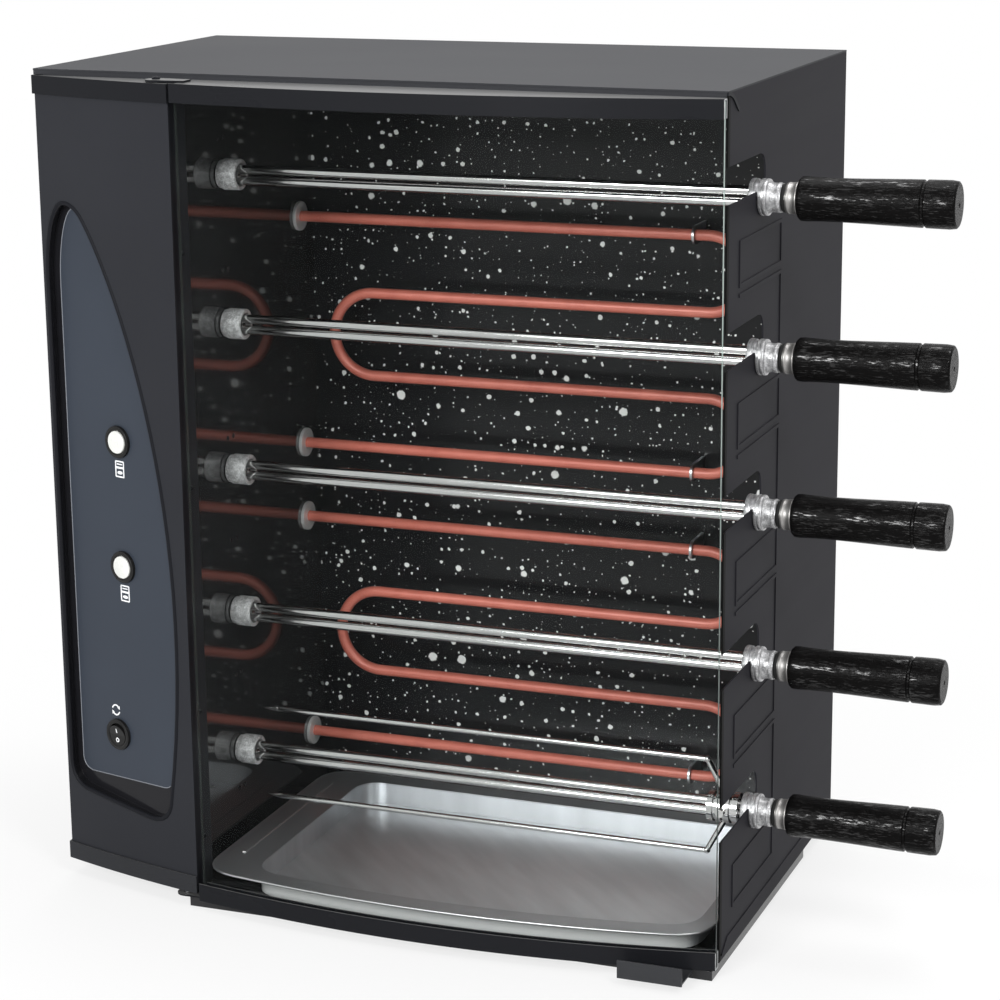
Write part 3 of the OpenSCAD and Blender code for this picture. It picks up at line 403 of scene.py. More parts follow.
def cast_metal(name, colour, roughness, metallic):
    metal = Finish(name, Metallic=metallic)
    spot = metal.place()
    grains = metal.noise(spot, 1100.0, 4.0, 0.7)
    lumps = metal.noise(spot, 260.0, 3.0)
    worn = metal.ramp(grains * 0.6 + lumps * 0.4, 0.40, 0.62)
    metal.feed(
        Base_Color=metal.mix(worn, tuple(c * 0.45 for c in colour), colour),
        Roughness=(roughness + 0.12 - worn * 0.14).clamped(),
    )
    metal.bump(grains + lumps * 2.0, 0.00016)
    return metal.material


stainless = rolled_metal(
    "rolled_stainless_edge", (0.62, 0.62, 0.63), 0.30, (0.04, 1, 1), 0.000001, 0.06, 0.85
)
pressed_disc = rolled_metal("pressed_steel_disc", (0.92, 0.92, 0.92), 0.30, metallic=0.40)
satin_ferrule = rolled_metal("satin_steel_ferrule", (0.38, 0.37, 0.36), 0.40, metallic=0.90)
plated = rolled_metal("zinc_plated_steel", (0.60, 0.61, 0.63), 0.26)
gear_steel = rolled_metal("machined_gear_steel", (0.46, 0.46, 0.47), 0.30)
bronze = rolled_metal("sintered_bronze", (0.46, 0.31, 0.15), 0.42)
cast_socket = cast_metal("cast_socket_metal", (0.95, 0.95, 0.96), 0.38, 0.35)
cast_collar = cast_metal("cast_collar_metal", (0.56, 0.56, 0.57), 0.32, 0.60)
print("metals ready")

# %% [markdown]
# The drip tray is stamped from bright sheet. Its front wall carries a painted highlight: its
# forward-facing faces are painted near-white and less metallic, for the light they catch. Its rim is a
# plainer grey, and its floor is dulled by wiping, in slanting smears, and painted darker towards the
# left. Masks pick those parts by where they lie and which way they look.

# %% Tray steel
FRONT_WALL_END, RIM_ABOVE = 90.0, 28.9
tray_steel = Finish("brushed_stainless_tray")
tray_spot = tray_steel.place()
tray_x, tray_y = tray_steel.part(tray_spot, "X"), tray_steel.part(tray_spot, "Y")
slanted = tray_steel.node(
    "ShaderNodeCombineXYZ", {}, {"X": (tray_x + tray_y) * 46.0, "Y": (tray_x - tray_y) * 7.0}
)
smears = tray_steel.noise(slanted, 1.0, 3.0)
brushing = tray_steel.noise(tray_steel.place((0.04, 1, 1)), 900.0, 3.0, 0.6)
looks_forward = tray_steel.ramp(tray_steel.outward("Y") * -1, 0.4, 0.8)
# Painted highlight: the front wall's forward-facing faces are painted near-white and made less
# metallic.
front_wall_highlight = looks_forward * (tray_y < at(0, FRONT_WALL_END, 0).y)
on_rim = tray_steel.part(tray_spot, "Z") > at(0, 0, RIM_ABOVE).z
# The floor is painted darker and more metallic towards the left.
to_right = tray_steel.ramp(tray_x, -0.16, 0.22)
shade = (to_right * 0.40 + smears * 0.50 + 0.22).clamped()
sheet_tone = tray_steel.mix(shade, (0.22, 0.23, 0.24), (0.92, 0.94, 0.97))
with_rim = tray_steel.mix(on_rim, sheet_tone, (0.50, 0.51, 0.53))
tray_steel.feed(
    Base_Color=tray_steel.mix(front_wall_highlight, with_rim, (0.98, 0.98, 0.98)),
    Metallic=(0.80 - to_right * 0.34 - front_wall_highlight * 0.54 + on_rim * 0.1).clamped(),
    Roughness=(0.26 + smears * 0.12 + brushing * 0.08).clamped(),
)
tray_steel.bump(brushing, 0.000001)
print("tray steel ready")

# %% [markdown]
# A skewer is one piece in the CAD model, but three metals meet on it: chromed rods, a cast collar
# that turns in the wall's slot, and a satin ferrule on the handle. All three are made in one
# material that looks at how far along the cabinet a point lies. A mask is 1 beyond a place.

# %% Skewer metal
COLLAR_X, GAP_X, FERRULE_X = 503.8, 525.0, 528.0
skewer_metal = Finish("chromed_rod_and_cast_collar")
skewer_spot = skewer_metal.place()
along = skewer_metal.part(skewer_spot, "X")
on_collar = (along > at(COLLAR_X, 0, 0).x) * (along < at(GAP_X, 0, 0).x)
in_gap = (along > at(GAP_X, 0, 0).x) * (along < at(FERRULE_X, 0, 0).x)
on_ferrule = along > at(FERRULE_X, 0, 0).x
cast_grain = skewer_metal.noise(skewer_spot, 1100.0, 4.0, 0.7)
rod_lines = skewer_metal.noise(skewer_metal.place((0.05, 1, 1)), 900.0, 3.0, 0.6)
rod_tone = skewer_metal.mix(rod_lines, (0.48, 0.48, 0.48), (0.72, 0.71, 0.70))
cast_tone = skewer_metal.mix(cast_grain, (0.34, 0.34, 0.35), (0.70, 0.70, 0.71))
with_collar = skewer_metal.mix(on_collar, rod_tone, cast_tone)
with_ferrule = skewer_metal.mix(on_ferrule, with_collar, (0.30, 0.29, 0.28))
skewer_metal.feed(
    Base_Color=skewer_metal.mix(in_gap, with_ferrule, (0.01, 0.01, 0.01)),
    Metallic=(1 - in_gap).clamped(),
    Roughness=(
        0.08 + rod_lines * 0.05 + on_collar * 0.20 + on_ferrule * 0.22 + in_gap * 0.4
    ).clamped(),
)
skewer_metal.bump(rod_lines * 0.02 + cast_grain * on_collar, 0.00022)
skewer_finish = skewer_metal.material
print("skewer metal ready")

# %% [markdown]
# ## Heating tubes
# A heating tube's steel oxidises to a dull red-brown. Its cold ends, near the wall, stay silver.

# %% Heating tube
tube = Finish("oxidised_heating_tube", Metallic=0.1, Coat_Weight=0.2, Coat_Roughness=0.25)
tube_spot = tube.place()
tube_cloud = tube.noise(tube_spot, 55.0, 4.0, 0.6)
tube_grain = tube.noise(tube_spot, 1500.0, 2.0)
tube.feed(
    Base_Color=tube.mix(tube_cloud, (0.52, 0.115, 0.080), (0.86, 0.27, 0.20)),
    Roughness=(0.34 + tube_cloud * 0.12).clamped(),
)
tube.bump(tube_grain, 0.00002)
hot_tube = tube.material
print("heating tube ready")

# %% [markdown]
# ## Lacquered wood
# The handles are turned wood under black lacquer. The lacquer sinks into the grain and stays glossy
# only on the ridges between the pores, which glitter in streaks along the handle. So the grain goes
# into the bump and into the weight of a clear coat rather than into the colour.

# %% Lacquered wood
lacquer = Finish("black_lacquered_wood", Specular_IOR_Level=0.04, Coat_Roughness=0.13)
grain_spot = lacquer.place((0.16, 1, 1))
pores = lacquer.noise(grain_spot, 900.0, 4.0, 0.7)
dents = lacquer.noise(lacquer.place((0.30, 1, 1)), 150.0, 3.0)
sawn_end = lacquer.ramp(lacquer.outward("X"), 0.3, 0.7)
lacquer.feed(
    Base_Color=lacquer.mix(pores, (0.0015, 0.0015, 0.0015), (0.005, 0.0045, 0.0045)),
    Roughness=(0.16 + pores * 0.14).clamped(),
    Coat_Weight=lacquer.ramp(pores * 0.75 + dents * 0.25, 0.52, 0.64) * (1 - sawn_end),
)
lacquer.bump(pores + dents * 1.2, 0.0004, 0.8)
black_wood = lacquer.material
print("wood ready")

# %% [markdown]
# ## Plastics, rubber, print and glass
# The recess and switches are glossy moulded plastic. Moulded plastic has a faint flow texture. The
# push-button lenses are frosted silver. Signs are silk-screened in off-white.

# %% Plastics, rubber and print
def moulded(name, colour, roughness, texture=0.00001, shine=0.2):
    plastic = Finish(name, Specular_IOR_Level=shine)
    spot = plastic.place()
    flow = plastic.noise(spot, 60.0, 3.0)
    plastic.feed(
        Base_Color=plastic.mix(flow, tuple(c * 0.8 for c in colour), tuple(c * 1.2 for c in colour)),
        Roughness=(roughness + flow * 0.08).clamped(),
    )
    plastic.bump(plastic.noise(spot, 900.0, 2.0), texture)
    return plastic.material


gloss_black = moulded("gloss_black_plastic", (0.011, 0.011, 0.013), 0.10, shine=0.14)
satin_black = moulded("satin_black_plastic", (0.008, 0.008, 0.008), 0.24, 0.00003)
lens_silver = moulded("frosted_silver_lens", (0.70, 0.71, 0.68), 0.18, 0.00030)
black_rubber = moulded("black_rubber", (0.010, 0.010, 0.010), 0.62, 0.00006)
white_print = moulded("white_screen_print", (0.82, 0.83, 0.84), 0.5)
shaded_glass_edge = moulded("shaded_glass_edge", (0.040, 0.046, 0.044), 0.2, shine=0.1)
# Painted shade for hollows too small to model.
painted_shade_slot = moulded("painted_shade_slot", (0.004, 0.004, 0.004), 0.7)

glass_side = Finish("polished_glass_edge", Specular_IOR_Level=0.2)
# The edge's green tint is real. Its brightness is painted light, dark at the bottom and brighter
# towards the top.
edge_painted_light = glass_side.ramp(glass_side.part(glass_side.place(), "Z"), 0.05, 0.50)
edge_flow = glass_side.noise(glass_side.place((1, 1, 0.1)), 120.0, 2.0)
glass_side.feed(
    Base_Color=glass_side.mix(edge_painted_light, (0.035, 0.042, 0.040), (0.40, 0.47, 0.44)),
    Roughness=(0.12 + edge_flow * 0.08).clamped(),
)
glass_edge = glass_side.material
print("plastics ready")

# %% [markdown]
# The door is clear float glass. A full glass shader would keep lamp light out of the chamber, so
# the pane is a see-through shader with a thin mirror over it. The mirror grows at shallow angles,
# as it does on real glass.

# %% Glass
pane = Finish("clear_door_glass")
pane.tree.nodes.remove(pane.shader)
see_through = pane.node("ShaderNodeBsdfTransparent", {}, {"Color": (0.925, 0.935, 0.931, 1)})
mirror = pane.node("ShaderNodeBsdfGlossy", {}, {"Color": (0.8, 0.85, 0.84, 1), "Roughness": 0.03})
glancing = pane.node("ShaderNodeLayerWeight", {}, {"Blend": 0.35}, "Facing")
mirror_share = (glancing**4 * 0.30 + 0.003).clamped()
pane.surface(pane.node("ShaderNodeMixShader", {}, {0: mirror_share, 1: see_through, 2: mirror}))
door_glass = pane.material
print("glass ready")

# %% [markdown]
# ## Softened edges for the CAD parts
# No folded or moulded edge is perfectly sharp, and the thin bright line along an edge is what
# makes a part look solid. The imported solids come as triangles, so each gets four modifiers:
# weld the triangles together, dissolve the flat ones, bevel the edges and weight the normals.

# %% Dress the CAD nodes
def dress(name, material, edge):
    piece = nodes[name]
    piece.data.materials.clear()
    piece.data.materials.append(material)
    weld = piece.modifiers.new("weld", "WELD")
    weld.merge_threshold = 0.000002
    flat = piece.modifiers.new("flat", "DECIMATE")
    flat.decimate_type = "DISSOLVE"
    flat.angle_limit = math.radians(0.5)
    if edge:
        bevel = piece.modifiers.new("edge", "BEVEL")
        bevel.width = edge
        bevel.segments = 2
        bevel.limit_method = "ANGLE"
        bevel.angle_limit = math.radians(32)
    piece.data.shade_smooth()
    piece.modifiers.new("normals", "WEIGHTED_NORMAL")


print("dressing ready")

# %% [markdown]
# The table gives each node its finish and the width of its softened edges, in metres. Thin sheet
# gets a narrow edge. Tubes and flat panes have no edge to soften, so theirs is zero.

# %% Table of finishes
DRESSED = {
    "roof_cover": (roof_paint, 0.0005),
    "left_side_panel": (column_paint, 0.0003),
    "back_cover": (side_paint, 0.0003),
    "slotted_side_wall": (wall_paint, 0.0002),
    "chamber_left_wall": (black_enamel, 0.0002),
    "chamber_back_wall": (flecked_enamel, 0.0),
    "base_pan": (pan_enamel, 0.0003),
    "column_fascia": (column_paint, 0.0003),
    "column_top_cap": (rail_paint, 0.0004),
    "column_bottom_cap": (cap_paint, 0.0004),
    "control_recess": (gloss_black, 0.0003),
    "control_panel": (panel_paint, 0.0002),
    "switch_housings": (satin_black, 0.0004),
    "gear_carrier": (plated, 0.0002),
    "gear_motor": (plated, 0.0004),
    "idler_pins": (plated, 0.0002),
    "spindle_bushes": (bronze, 0.0002),
    "hinge_pins": (plated, 0.0003),
    "element_clips": (plated, 0.0002),
    "tray_runners": (pan_enamel, 0.0002),
    "rubber_feet": (black_rubber, 0.0005),
    "cord_gland": (black_rubber, 0.0003),
    "door_top_rail": (rail_paint, 0.0005),
    "door_bottom_rail": (rail_paint, 0.0005),
    "door_glass": (door_glass, 0.0),
    "door_pull": (pull_paint, 0.0003),
    "upper_button": (lens_silver, 0.0005),
    "lower_button": (lens_silver, 0.0005),
    "rocker": (satin_black, 0.0004),
    "motor_pinion": (bronze, 0.0001),
    "upper_element": (hot_tube, 0.0),
    "lower_element": (hot_tube, 0.0),
    "element_flanges": (pressed_disc, 0.0002),
    "drip_tray": (tray_steel.material, 0.0003),
    "skewer_fork": (skewer_finish, 0.0002),
}
DRESSED.update({f"idler_gear_{i}": (gear_steel, 0.0001) for i in range(1, 5)})
DRESSED.update({f"socket_gear_{i}": (gear_steel, 0.0001) for i in SKEWERS})
DRESSED.update({f"drive_socket_{i}": (cast_socket, 0.0003) for i in SKEWERS})
DRESSED.update({f"skewer_{i}": (skewer_finish, 0.0002) for i in SKEWERS})
DRESSED.update({f"handle_{i}": (black_wood, 0.0003) for i in SKEWERS})
for name, (material, edge) in DRESSED.items():
    dress(name, material, edge)
print("dressed", len(DRESSED), "of", len(nodes), "CAD nodes")

# %% [markdown]
# ## Tools for the small pieces
# Screws, marks, beads and nuts are too small for the CAD model, but they're what the eye looks for.
# Three shapes cover them: a profile turned round an axis, a flat outline raised a little, and a
# round section carried along a path. The first two are drawn in millimetres and put in place by a
# matrix, so a piece can be drawn flat and then stood on any surface.

# %% Lathe
def lathe(bm, profile, matrix, segments=24):
    """Turns (radius, height) points round the matrix's Z axis. Off the axis it closes to a ring."""
    if profile[0][0] and profile[-1][0]:
        profile = profile + profile[:1]
    rings = []
    for radius, height in profile:
        turns = [2 * math.pi * k / segments for k in range(segments if radius else 1)]
        spots = [Vector((radius * math.cos(a), radius * math.sin(a), height)) for a in turns]
        rings.append([bm.verts.new(matrix @ spot) for spot in spots])
    if len(profile) > 2 and profile[0] == profile[-1]:
        bmesh.ops.delete(bm, geom=rings[-1], context="VERTS")
        rings[-1] = rings[0]
    for low, high in zip(rings, rings[1:]):
        for k in range(segments):
            ring = [low[k % len(low)], low[(k + 1) % len(low)]]
            ring += [high[(k + 1) % len(high)], high[k % len(high)]]
            corners = list(dict.fromkeys(ring))
            if len(corners) > 2:
                bm.faces.new(corners)


print("lathe ready")

# %% [markdown]
# A prism raises a closed outline. Its two ends are single polygons, which is fine for a flat sign
# or a strip of sheet.

# %% Prism
def prism(bm, outline, matrix, low, high):
    """Raises a closed outline from height low to height high over the matrix's XY plane."""
    floor_ring = [bm.verts.new(matrix @ Vector((x, y, low))) for x, y in outline]
    roof_ring = [bm.verts.new(matrix @ Vector((x, y, high))) for x, y in outline]
    bm.faces.new(roof_ring)
    bm.faces.new(floor_ring[::-1])
    for k in range(len(outline)):
        n = (k + 1) % len(outline)
        bm.faces.new([floor_ring[k], floor_ring[n], roof_ring[n], roof_ring[k]])


print("prism ready")

# %% [markdown]
# A sweep carries a circle along a path. At each point the circle stands across the path, and `out`
# keeps the circles from twisting against each other.

# %% Sweep
def sweep(bm, path, radius, closed=True, sides=10, out=Vector((0, -1, 0))):
    """Carries a circle along points that are already in the scene's metres."""
    rings = []
    count = len(path)
    for k, point in enumerate(path):
        after = path[(k + 1) % count] if closed or k < count - 1 else point
        before = path[k - 1] if closed or k else point
        ahead = (after - before).normalized()
        side = ahead.cross(out).normalized()
        lift = side.cross(ahead)
        angles = [2 * math.pi * a / sides for a in range(sides)]
        rings.append(
            [bm.verts.new(point + (side * math.cos(a) + lift * math.sin(a)) * radius) for a in angles]
        )
    pairs = list(zip(rings, rings[1:] + rings[:1])) if closed else list(zip(rings, rings[1:]))
    for ring, following in pairs:
        for a in range(sides):
            b = (a + 1) % sides
            bm.faces.new([ring[a], ring[b], following[b], following[a]])
    if not closed:
        bm.faces.new(rings[0][::-1])
        bm.faces.new(rings[-1])


print("sweep ready")

# %% [markdown]
# A finished mesh becomes a piece of the grill when it has a name, a material and a body to ride on.
# `facing` gives a matrix whose Z axis leaves a surface.

# %% Placing a piece
def facing(place, outward, upward=(0, 0, 1)):
    """A matrix at a place in the scene: Z leaves the surface, Y points up along it. It scales mm."""
    z = Vector(outward).normalized()
    x = Vector(upward).cross(z).normalized()
    turn = Matrix((x, z.cross(x), z)).transposed().to_4x4()
    return Matrix.Translation(place) @ turn @ Matrix.Scale(MM, 4)


def add_piece(name, bm, materials, body, sharp=35):
    """Turns a mesh under construction into a piece that rides on a body."""
    bmesh.ops.recalc_face_normals(bm, faces=bm.faces)
    mesh = bpy.data.meshes.new(name)
    bm.to_mesh(mesh)
    bm.free()
    for material in materials:
        mesh.materials.append(material)
    mesh.shade_smooth()
    mesh.set_sharp_from_angle(angle=math.radians(sharp))
    piece = bpy.data.objects.new(name, mesh)
    bpy.context.scene.collection.objects.link(piece)
    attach(piece, body)
    return piece


print("placing ready")

# %% [markdown]
# ## Screws and rivets
# The sheets are held by small pan-head screws: a low dome with a cross pressed into it. A drawn cross
# would have to be cut out of the dome, so two thin bars painted dark lie in its top instead: a painted
# shade of the cross's hollow, which looks the same at this size. The chamber's left wall has rivets,
# plain low domes.

# %% Screws
def screw(name, place, outward, body, material, size=4.4):
    bm = bmesh.new()
    seat = facing(place, outward)
    r = size / 2
    lathe(bm, [(0, -0.3), (r, -0.3), (r, 0.35), (0.86 * r, 0.95), (0.5 * r, 1.3), (0, 1.35)], seat)
    head_faces = len(bm.faces)
    # The cross is two bars painted dark, a painted shade of its hollow.
    for angle in (45, 135):
        bar = seat @ Matrix.Rotation(math.radians(angle), 4, "Z")
        half_w, half_l = 0.09 * size, 0.27 * size
        cross = [(-half_l, -half_w), (half_l, -half_w), (half_l, half_w), (-half_l, half_w)]
        prism(bm, cross, bar, 1.1, 1.42)
    bm.faces.ensure_lookup_table()
    for face in bm.faces[head_faces:]:
        face.material_index = 1
    add_piece(name, bm, [material, painted_shade_slot], body)


COLUMN_W, STRIP_Y = 121.0, 9.0
STRIP_SCREWS_Z = (478, 312, 147, 52)
for k, z in enumerate(STRIP_SCREWS_Z):
    seat = at(COLUMN_W, STRIP_Y, z)
    screw(f"strip_screw_{k + 1}", seat, (1, 0, 0), "cabinet", rail_paint, 3.6)
BACK_SCREWS = [(x, z) for x in (14, 180, 345, 496) for z in (26, 588)] + [(14, 300), (496, 300)]
for k, (x, z) in enumerate(BACK_SCREWS):
    screw(f"back_screw_{k + 1}", at(x, DEPTH, z), (0, 1, 0), "cabinet", plated, 6.0)
print("screws:", len(STRIP_SCREWS_Z) + len(BACK_SCREWS))

# %% [markdown]
# The rivets sit in pairs on the chamber's left wall. They all go into one mesh, because they never
# move apart.

# %% Rivets
LEFT_WALL_X = 113.0
RIVETS_Y, RIVETS_Z = (84, 93), (548, 454, 331, 254, 151, 62)
RIVET = [(0, -0.2), (1.9, -0.2), (1.7, 0.4), (0.9, 0.8), (0, 0.9)]
bm = bmesh.new()
for z in RIVETS_Z:
    for y in RIVETS_Y:
        lathe(bm, RIVET, facing(at(LEFT_WALL_X, y, z), (1, 0, 0)), 16)
add_piece("chamber_rivets", bm, [pan_enamel], "cabinet")
print("rivets:", len(RIVETS_Y) * len(RIVETS_Z))

# %% [markdown]
# ## The fin-shaped recess
# The control panel lies in a recess shaped like a fin. Its rim is rolled outwards into a soft
# bead, which catches two bright lights at its lower left corner. The same formula as in the
# drawing gives the outline: a straight left edge, a round tip, a bowed right edge, a slanted foot.
# Its corners are rounded by `quarter`, and `dense` adds points, so a bead can follow it smoothly.

# %% Outline helpers
def quarter(a, c, b, steps=6):
    """A rounded corner from a to b that leans towards c."""
    bend = [k / steps for k in range(steps + 1)]
    return [
        tuple((1 - t) ** 2 * p + 2 * t * (1 - t) * q + t * t * r for p, q, r in zip(a, c, b))
        for t in bend
    ]


def dense(outline, step=4.0):
    """The same closed outline, with points at most a step apart."""
    points = []
    for (x0, z0), (x1, z1) in zip(outline, outline[1:] + outline[:1]):
        parts = max(1, math.ceil(math.hypot(x1 - x0, z1 - z0) / step))
        points += [(x0 + (x1 - x0) * k / parts, z0 + (z1 - z0) * k / parts) for k in range(parts)]
    return points


print("outline helpers ready")

# %% [markdown]
# The fin's outline starts at its lower right corner and runs clockwise: along the foot, up the left
# edge, round the tip and down the bowed right edge.

# %% Fin outline
RECESS = dict(left=4.0, right=110.5, foot_left=71.0, foot_right=61.5, tip=507.5, r=20.0)
WIDEST_Z = 200.0
TIP_H, BOW_DROP = 56.0, 8.0


def fin_outline(left, right, foot_left, foot_right, tip, r):
    """A fin between two heights, with corners of radius r."""
    root = left + 0.25 * (right - left)
    tip_x = left + 0.17 * (right - left)
    shoulder, bow = tip - TIP_H, tip - BOW_DROP

    def edge(z):
        return root + (right - root) * (1 - ((z - WIDEST_Z) / (tip - WIDEST_Z)) ** 2) ** 0.8

    low = foot_right + r
    foot = foot_right + 0.12 * (foot_left - foot_right)
    turns = [math.radians(9 * k) for k in range(11)]
    fall = [bow - (bow - low) * (k / 25) ** 1.4 for k in range(1, 25)]
    round_x = [left + (tip_x - left) * (1 - math.cos(a)) for a in turns]
    round_z = [shoulder + (tip - shoulder) * math.sin(a) for a in turns]
    return (
        quarter((edge(low), low), (edge(low) - 1, foot_right), (edge(low) - r, foot))
        + quarter((left + r, foot_left), (left + 1, foot_left + 1), (left, foot_left + r))
        + list(zip(round_x, round_z))
        + quarter((tip_x + 1, tip), (tip_x + 9, tip), (edge(bow), bow))
        + [(edge(z), z) for z in fall]
    )


recess_points = dense(fin_outline(**RECESS))
print("recess outline points:", len(recess_points))

# %% [markdown]
# The bead follows the outline on the column's curved front, which lies a sheet's overlap behind
# the door's arc. Half of it is sunk into the sheet.

# %% Rolled rim of the recess
COLUMN_INSET = 1.5
BEAD_R = 1.7
bm = bmesh.new()
rim = [at(x, front_y(x, COLUMN_INSET) + 0.75, z) for x, z in recess_points]
sweep(bm, rim, BEAD_R * MM, sides=12)
add_piece("recess_rim", bm, [rim_paint], "cabinet", 80)
print("recess rim ready")

# %% [markdown]
# ## The flat panel
# The blue-grey panel is a plate at its own angle to the front. A thin light line runs round it,
# where its cut edge shows. `on_panel` gives a matrix anywhere on the plate, for signs and switches.

# %% Panel frame
PANEL_TILT = math.radians(18.4)
PANEL_X = 12.0
PANEL_FRONT = front_y(PANEL_X, COLUMN_INSET) + 7.0
PANEL_OUT = (-math.sin(PANEL_TILT), -math.cos(PANEL_TILT), 0)


def panel_face(x):
    return PANEL_FRONT - (x - PANEL_X) * math.tan(PANEL_TILT)


def on_panel(x, z):
    return facing(at(x, panel_face(x), z), PANEL_OUT)


PANEL = dict(left=PANEL_X, right=108.7, foot_left=84.5, foot_right=88.0, tip=503.5, r=9.0)
SLOPE_X = 100.0
panel_points = [(x, z) for x, z in dense(fin_outline(**PANEL)) if x < SLOPE_X]
bm = bmesh.new()
sweep(
    bm, [at(x, panel_face(x) - 0.05, z) for x, z in panel_points], 0.4 * MM, closed=False, sides=8
)
add_piece("panel_edge_line", bm, [panel_rim], "cabinet", 80)
print("panel plane ready, its left edge lies at y =", round(panel_face(PANEL_X), 2), "mm")

# %% [markdown]
# ## Signs on the panel
# The signs are screen printed: a skin of paint, a tenth of a millimetre thick. Each is a few flat
# outlines, such as strokes along an arc and rectangles, raised that little over the panel.

# %% Printing
PRINT_T = 0.12


def arc_points(radius, start, end, steps=14, squash=1.0):
    turns = [math.radians(start + (end - start) * k / steps) for k in range(steps + 1)]
    return [(radius * math.cos(a), radius * squash * math.sin(a)) for a in turns]


def stroke_arc(radius, width, start, end):
    outer = arc_points(radius + width / 2, start, end)
    inner = arc_points(radius - width / 2, start, end)
    return outer + inner[::-1]


def rectangle(cx, cy, w, h):
    corners = ((-0.5, -0.5), (0.5, -0.5), (0.5, 0.5), (-0.5, 0.5))
    return [(cx + w * x, cy + h * y) for x, y in corners]


def print_sign(name, outlines, matrix, body="cabinet"):
    bm = bmesh.new()
    for outline in outlines:
        prism(bm, outline, matrix, -0.02, PRINT_T)
    add_piece(name, bm, [white_print], body)


print("printing ready, skin:", PRINT_T, "mm")

# %% [markdown]
# Under each push-button is a small oven: a frame of four lines, and inside it two bars and a
# flattened ring. A pictogram this small needs only a few plain strokes.

# %% Oven signs
OVEN_W, OVEN_H, LINE = 9.0, 12.2, 1.0
oven_frame = [
    rectangle(side * (OVEN_W - LINE) / 2, 0, LINE, OVEN_H - 0.8) for side in (-1, 1)
] + [rectangle(0, side * (OVEN_H - LINE) / 2, OVEN_W - 0.8, LINE) for side in (-1, 1)]
oven_inside = [
    rectangle(0, 3.55, 5.4, 0.8),
    rectangle(0, 1.0, OVEN_W - 1.4, 1.5),
    [(x * 0.9 + 0.2, y - 2.6) for x, y in arc_points(2.9, 0, 340, 16, 0.42)],
]
SIGN_DROP = 20.0
BUTTON_X, BUTTONS_Z = 62.0, (340.0, 248.0)
for which, z in zip(("upper", "lower"), BUTTONS_Z):
    print_sign(f"{which}_oven_sign", oven_frame + oven_inside, on_panel(BUTTON_X, z - SIGN_DROP))
print("oven signs ready")

# %% [markdown]
# Over the rocker two arrows chase each other in a circle, which stands for turning skewers. Each
# arrow is a stroke along an arc with a triangle at its end.

# %% Turning sign
TURN_R = 3.7
HEAD = [(-1.5, -1.1), (1.5, -1.1), (0, 1.5)]


def arrow_head(angle):
    """A triangle on the circle that points the way the arrow turns."""
    a = math.radians(angle)
    spin = math.radians(angle - 180)
    return [
        (
            TURN_R * math.cos(a) + x * math.cos(spin) - y * math.sin(spin),
            TURN_R * math.sin(a) + x * math.sin(spin) + y * math.cos(spin),
        )
        for x, y in HEAD
    ]


TURN_SIGN_X, TURN_SIGN_Z = 47.5, 137.0
turning = [stroke_arc(TURN_R, 1.1, start, start + 125) for start in (40, 220)]
turning += [arrow_head(angle) for angle in (32, 212)]
print_sign("turning_sign", turning, on_panel(TURN_SIGN_X, TURN_SIGN_Z))
print("turning sign ready")

# %% [markdown]
# ## The rocker's two marks
# The line and the circle for on and off sit on the rocker's two sloping faces. The rocker is
# tilted about its pins, so the marks get the same turn, and they ride on the rocker.

# %% Rocker marks
ROCKER_X, ROCKER_Z = 50.0, 119.0
ROCKER_AXIS, ROCKER_TILT, FACE_SLOPE = 1.5, 7.0, 6.91
MARK_OFF_CENTRE = 3.6
tilted = (
    on_panel(ROCKER_X, ROCKER_Z)
    @ Matrix.Translation((0, 0, -ROCKER_AXIS))
    @ Matrix.Rotation(math.radians(ROCKER_TILT), 4, "X")
    @ Matrix.Translation((0, 0, ROCKER_AXIS + 2.2))
)
upper_face = tilted @ Matrix.Rotation(math.radians(FACE_SLOPE), 4, "X")
lower_face = tilted @ Matrix.Rotation(math.radians(-FACE_SLOPE), 4, "X")
line = rectangle(0, MARK_OFF_CENTRE, 0.9, 3.4)
print_sign("rocker_on_mark", [line], upper_face, "rocker_switch")
halves = [stroke_arc(1.35, 0.8, start, start + 180) for start in (0, 180)]
halves = [[(x, y - MARK_OFF_CENTRE) for x, y in half] for half in halves]
print_sign("rocker_off_mark", halves, lower_face, "rocker_switch")
print("rocker marks ready")

# %% [markdown]
# Each switch has a round bezel, which bulges out of the panel and drops into a narrow groove
# round the button or the rocker.

# %% Bezels
BEZEL = [(11.2, -0.1), (11.6, -0.1), (11.75, 0.5), (11.4, 1.5), (10.6, 2.35), (9.4, 2.5)]
BEZEL += [(8.9, 2.1), (8.9, 1.5), (11.2, 1.2)]
bm = bmesh.new()
for x, z in [(BUTTON_X, z) for z in BUTTONS_Z] + [(ROCKER_X, ROCKER_Z)]:
    lathe(bm, BEZEL, on_panel(x, z), 48)
add_piece("switch_bezels", bm, [satin_black], "cabinet", 50)
print("bezels ready")

# %% [markdown]
# ## Lenses of the push-buttons
# Each lens is a clear cap over a foil reflector: a low dome with a ring near its rim and a few
# rings pressed in its back. A turned profile with shallow waves makes it glitter like that.

# %% Lens domes
LENS_R, DOME_LOW, DOME_RISE, WAVE, STEPS = 8.05, 2.9, 0.75, 0.14, 12
dome = [(0, 2.0), (8.1, 2.0), (8.15, 2.6)]
for k in range(STEPS):
    wave = WAVE if k % 3 == 1 else 0
    height = DOME_LOW + DOME_RISE * math.sin(math.pi / 2 * k / STEPS) + wave
    dome.append((LENS_R * (1 - k / STEPS), height))
dome.append((0, DOME_LOW + DOME_RISE))
for which, z in zip(("upper", "lower"), BUTTONS_Z):
    bm = bmesh.new()
    lathe(bm, dome, on_panel(BUTTON_X, z), 48)
    add_piece(f"{which}_lens", bm, [lens_silver], f"{which}_button", 60)
print("lenses ready")

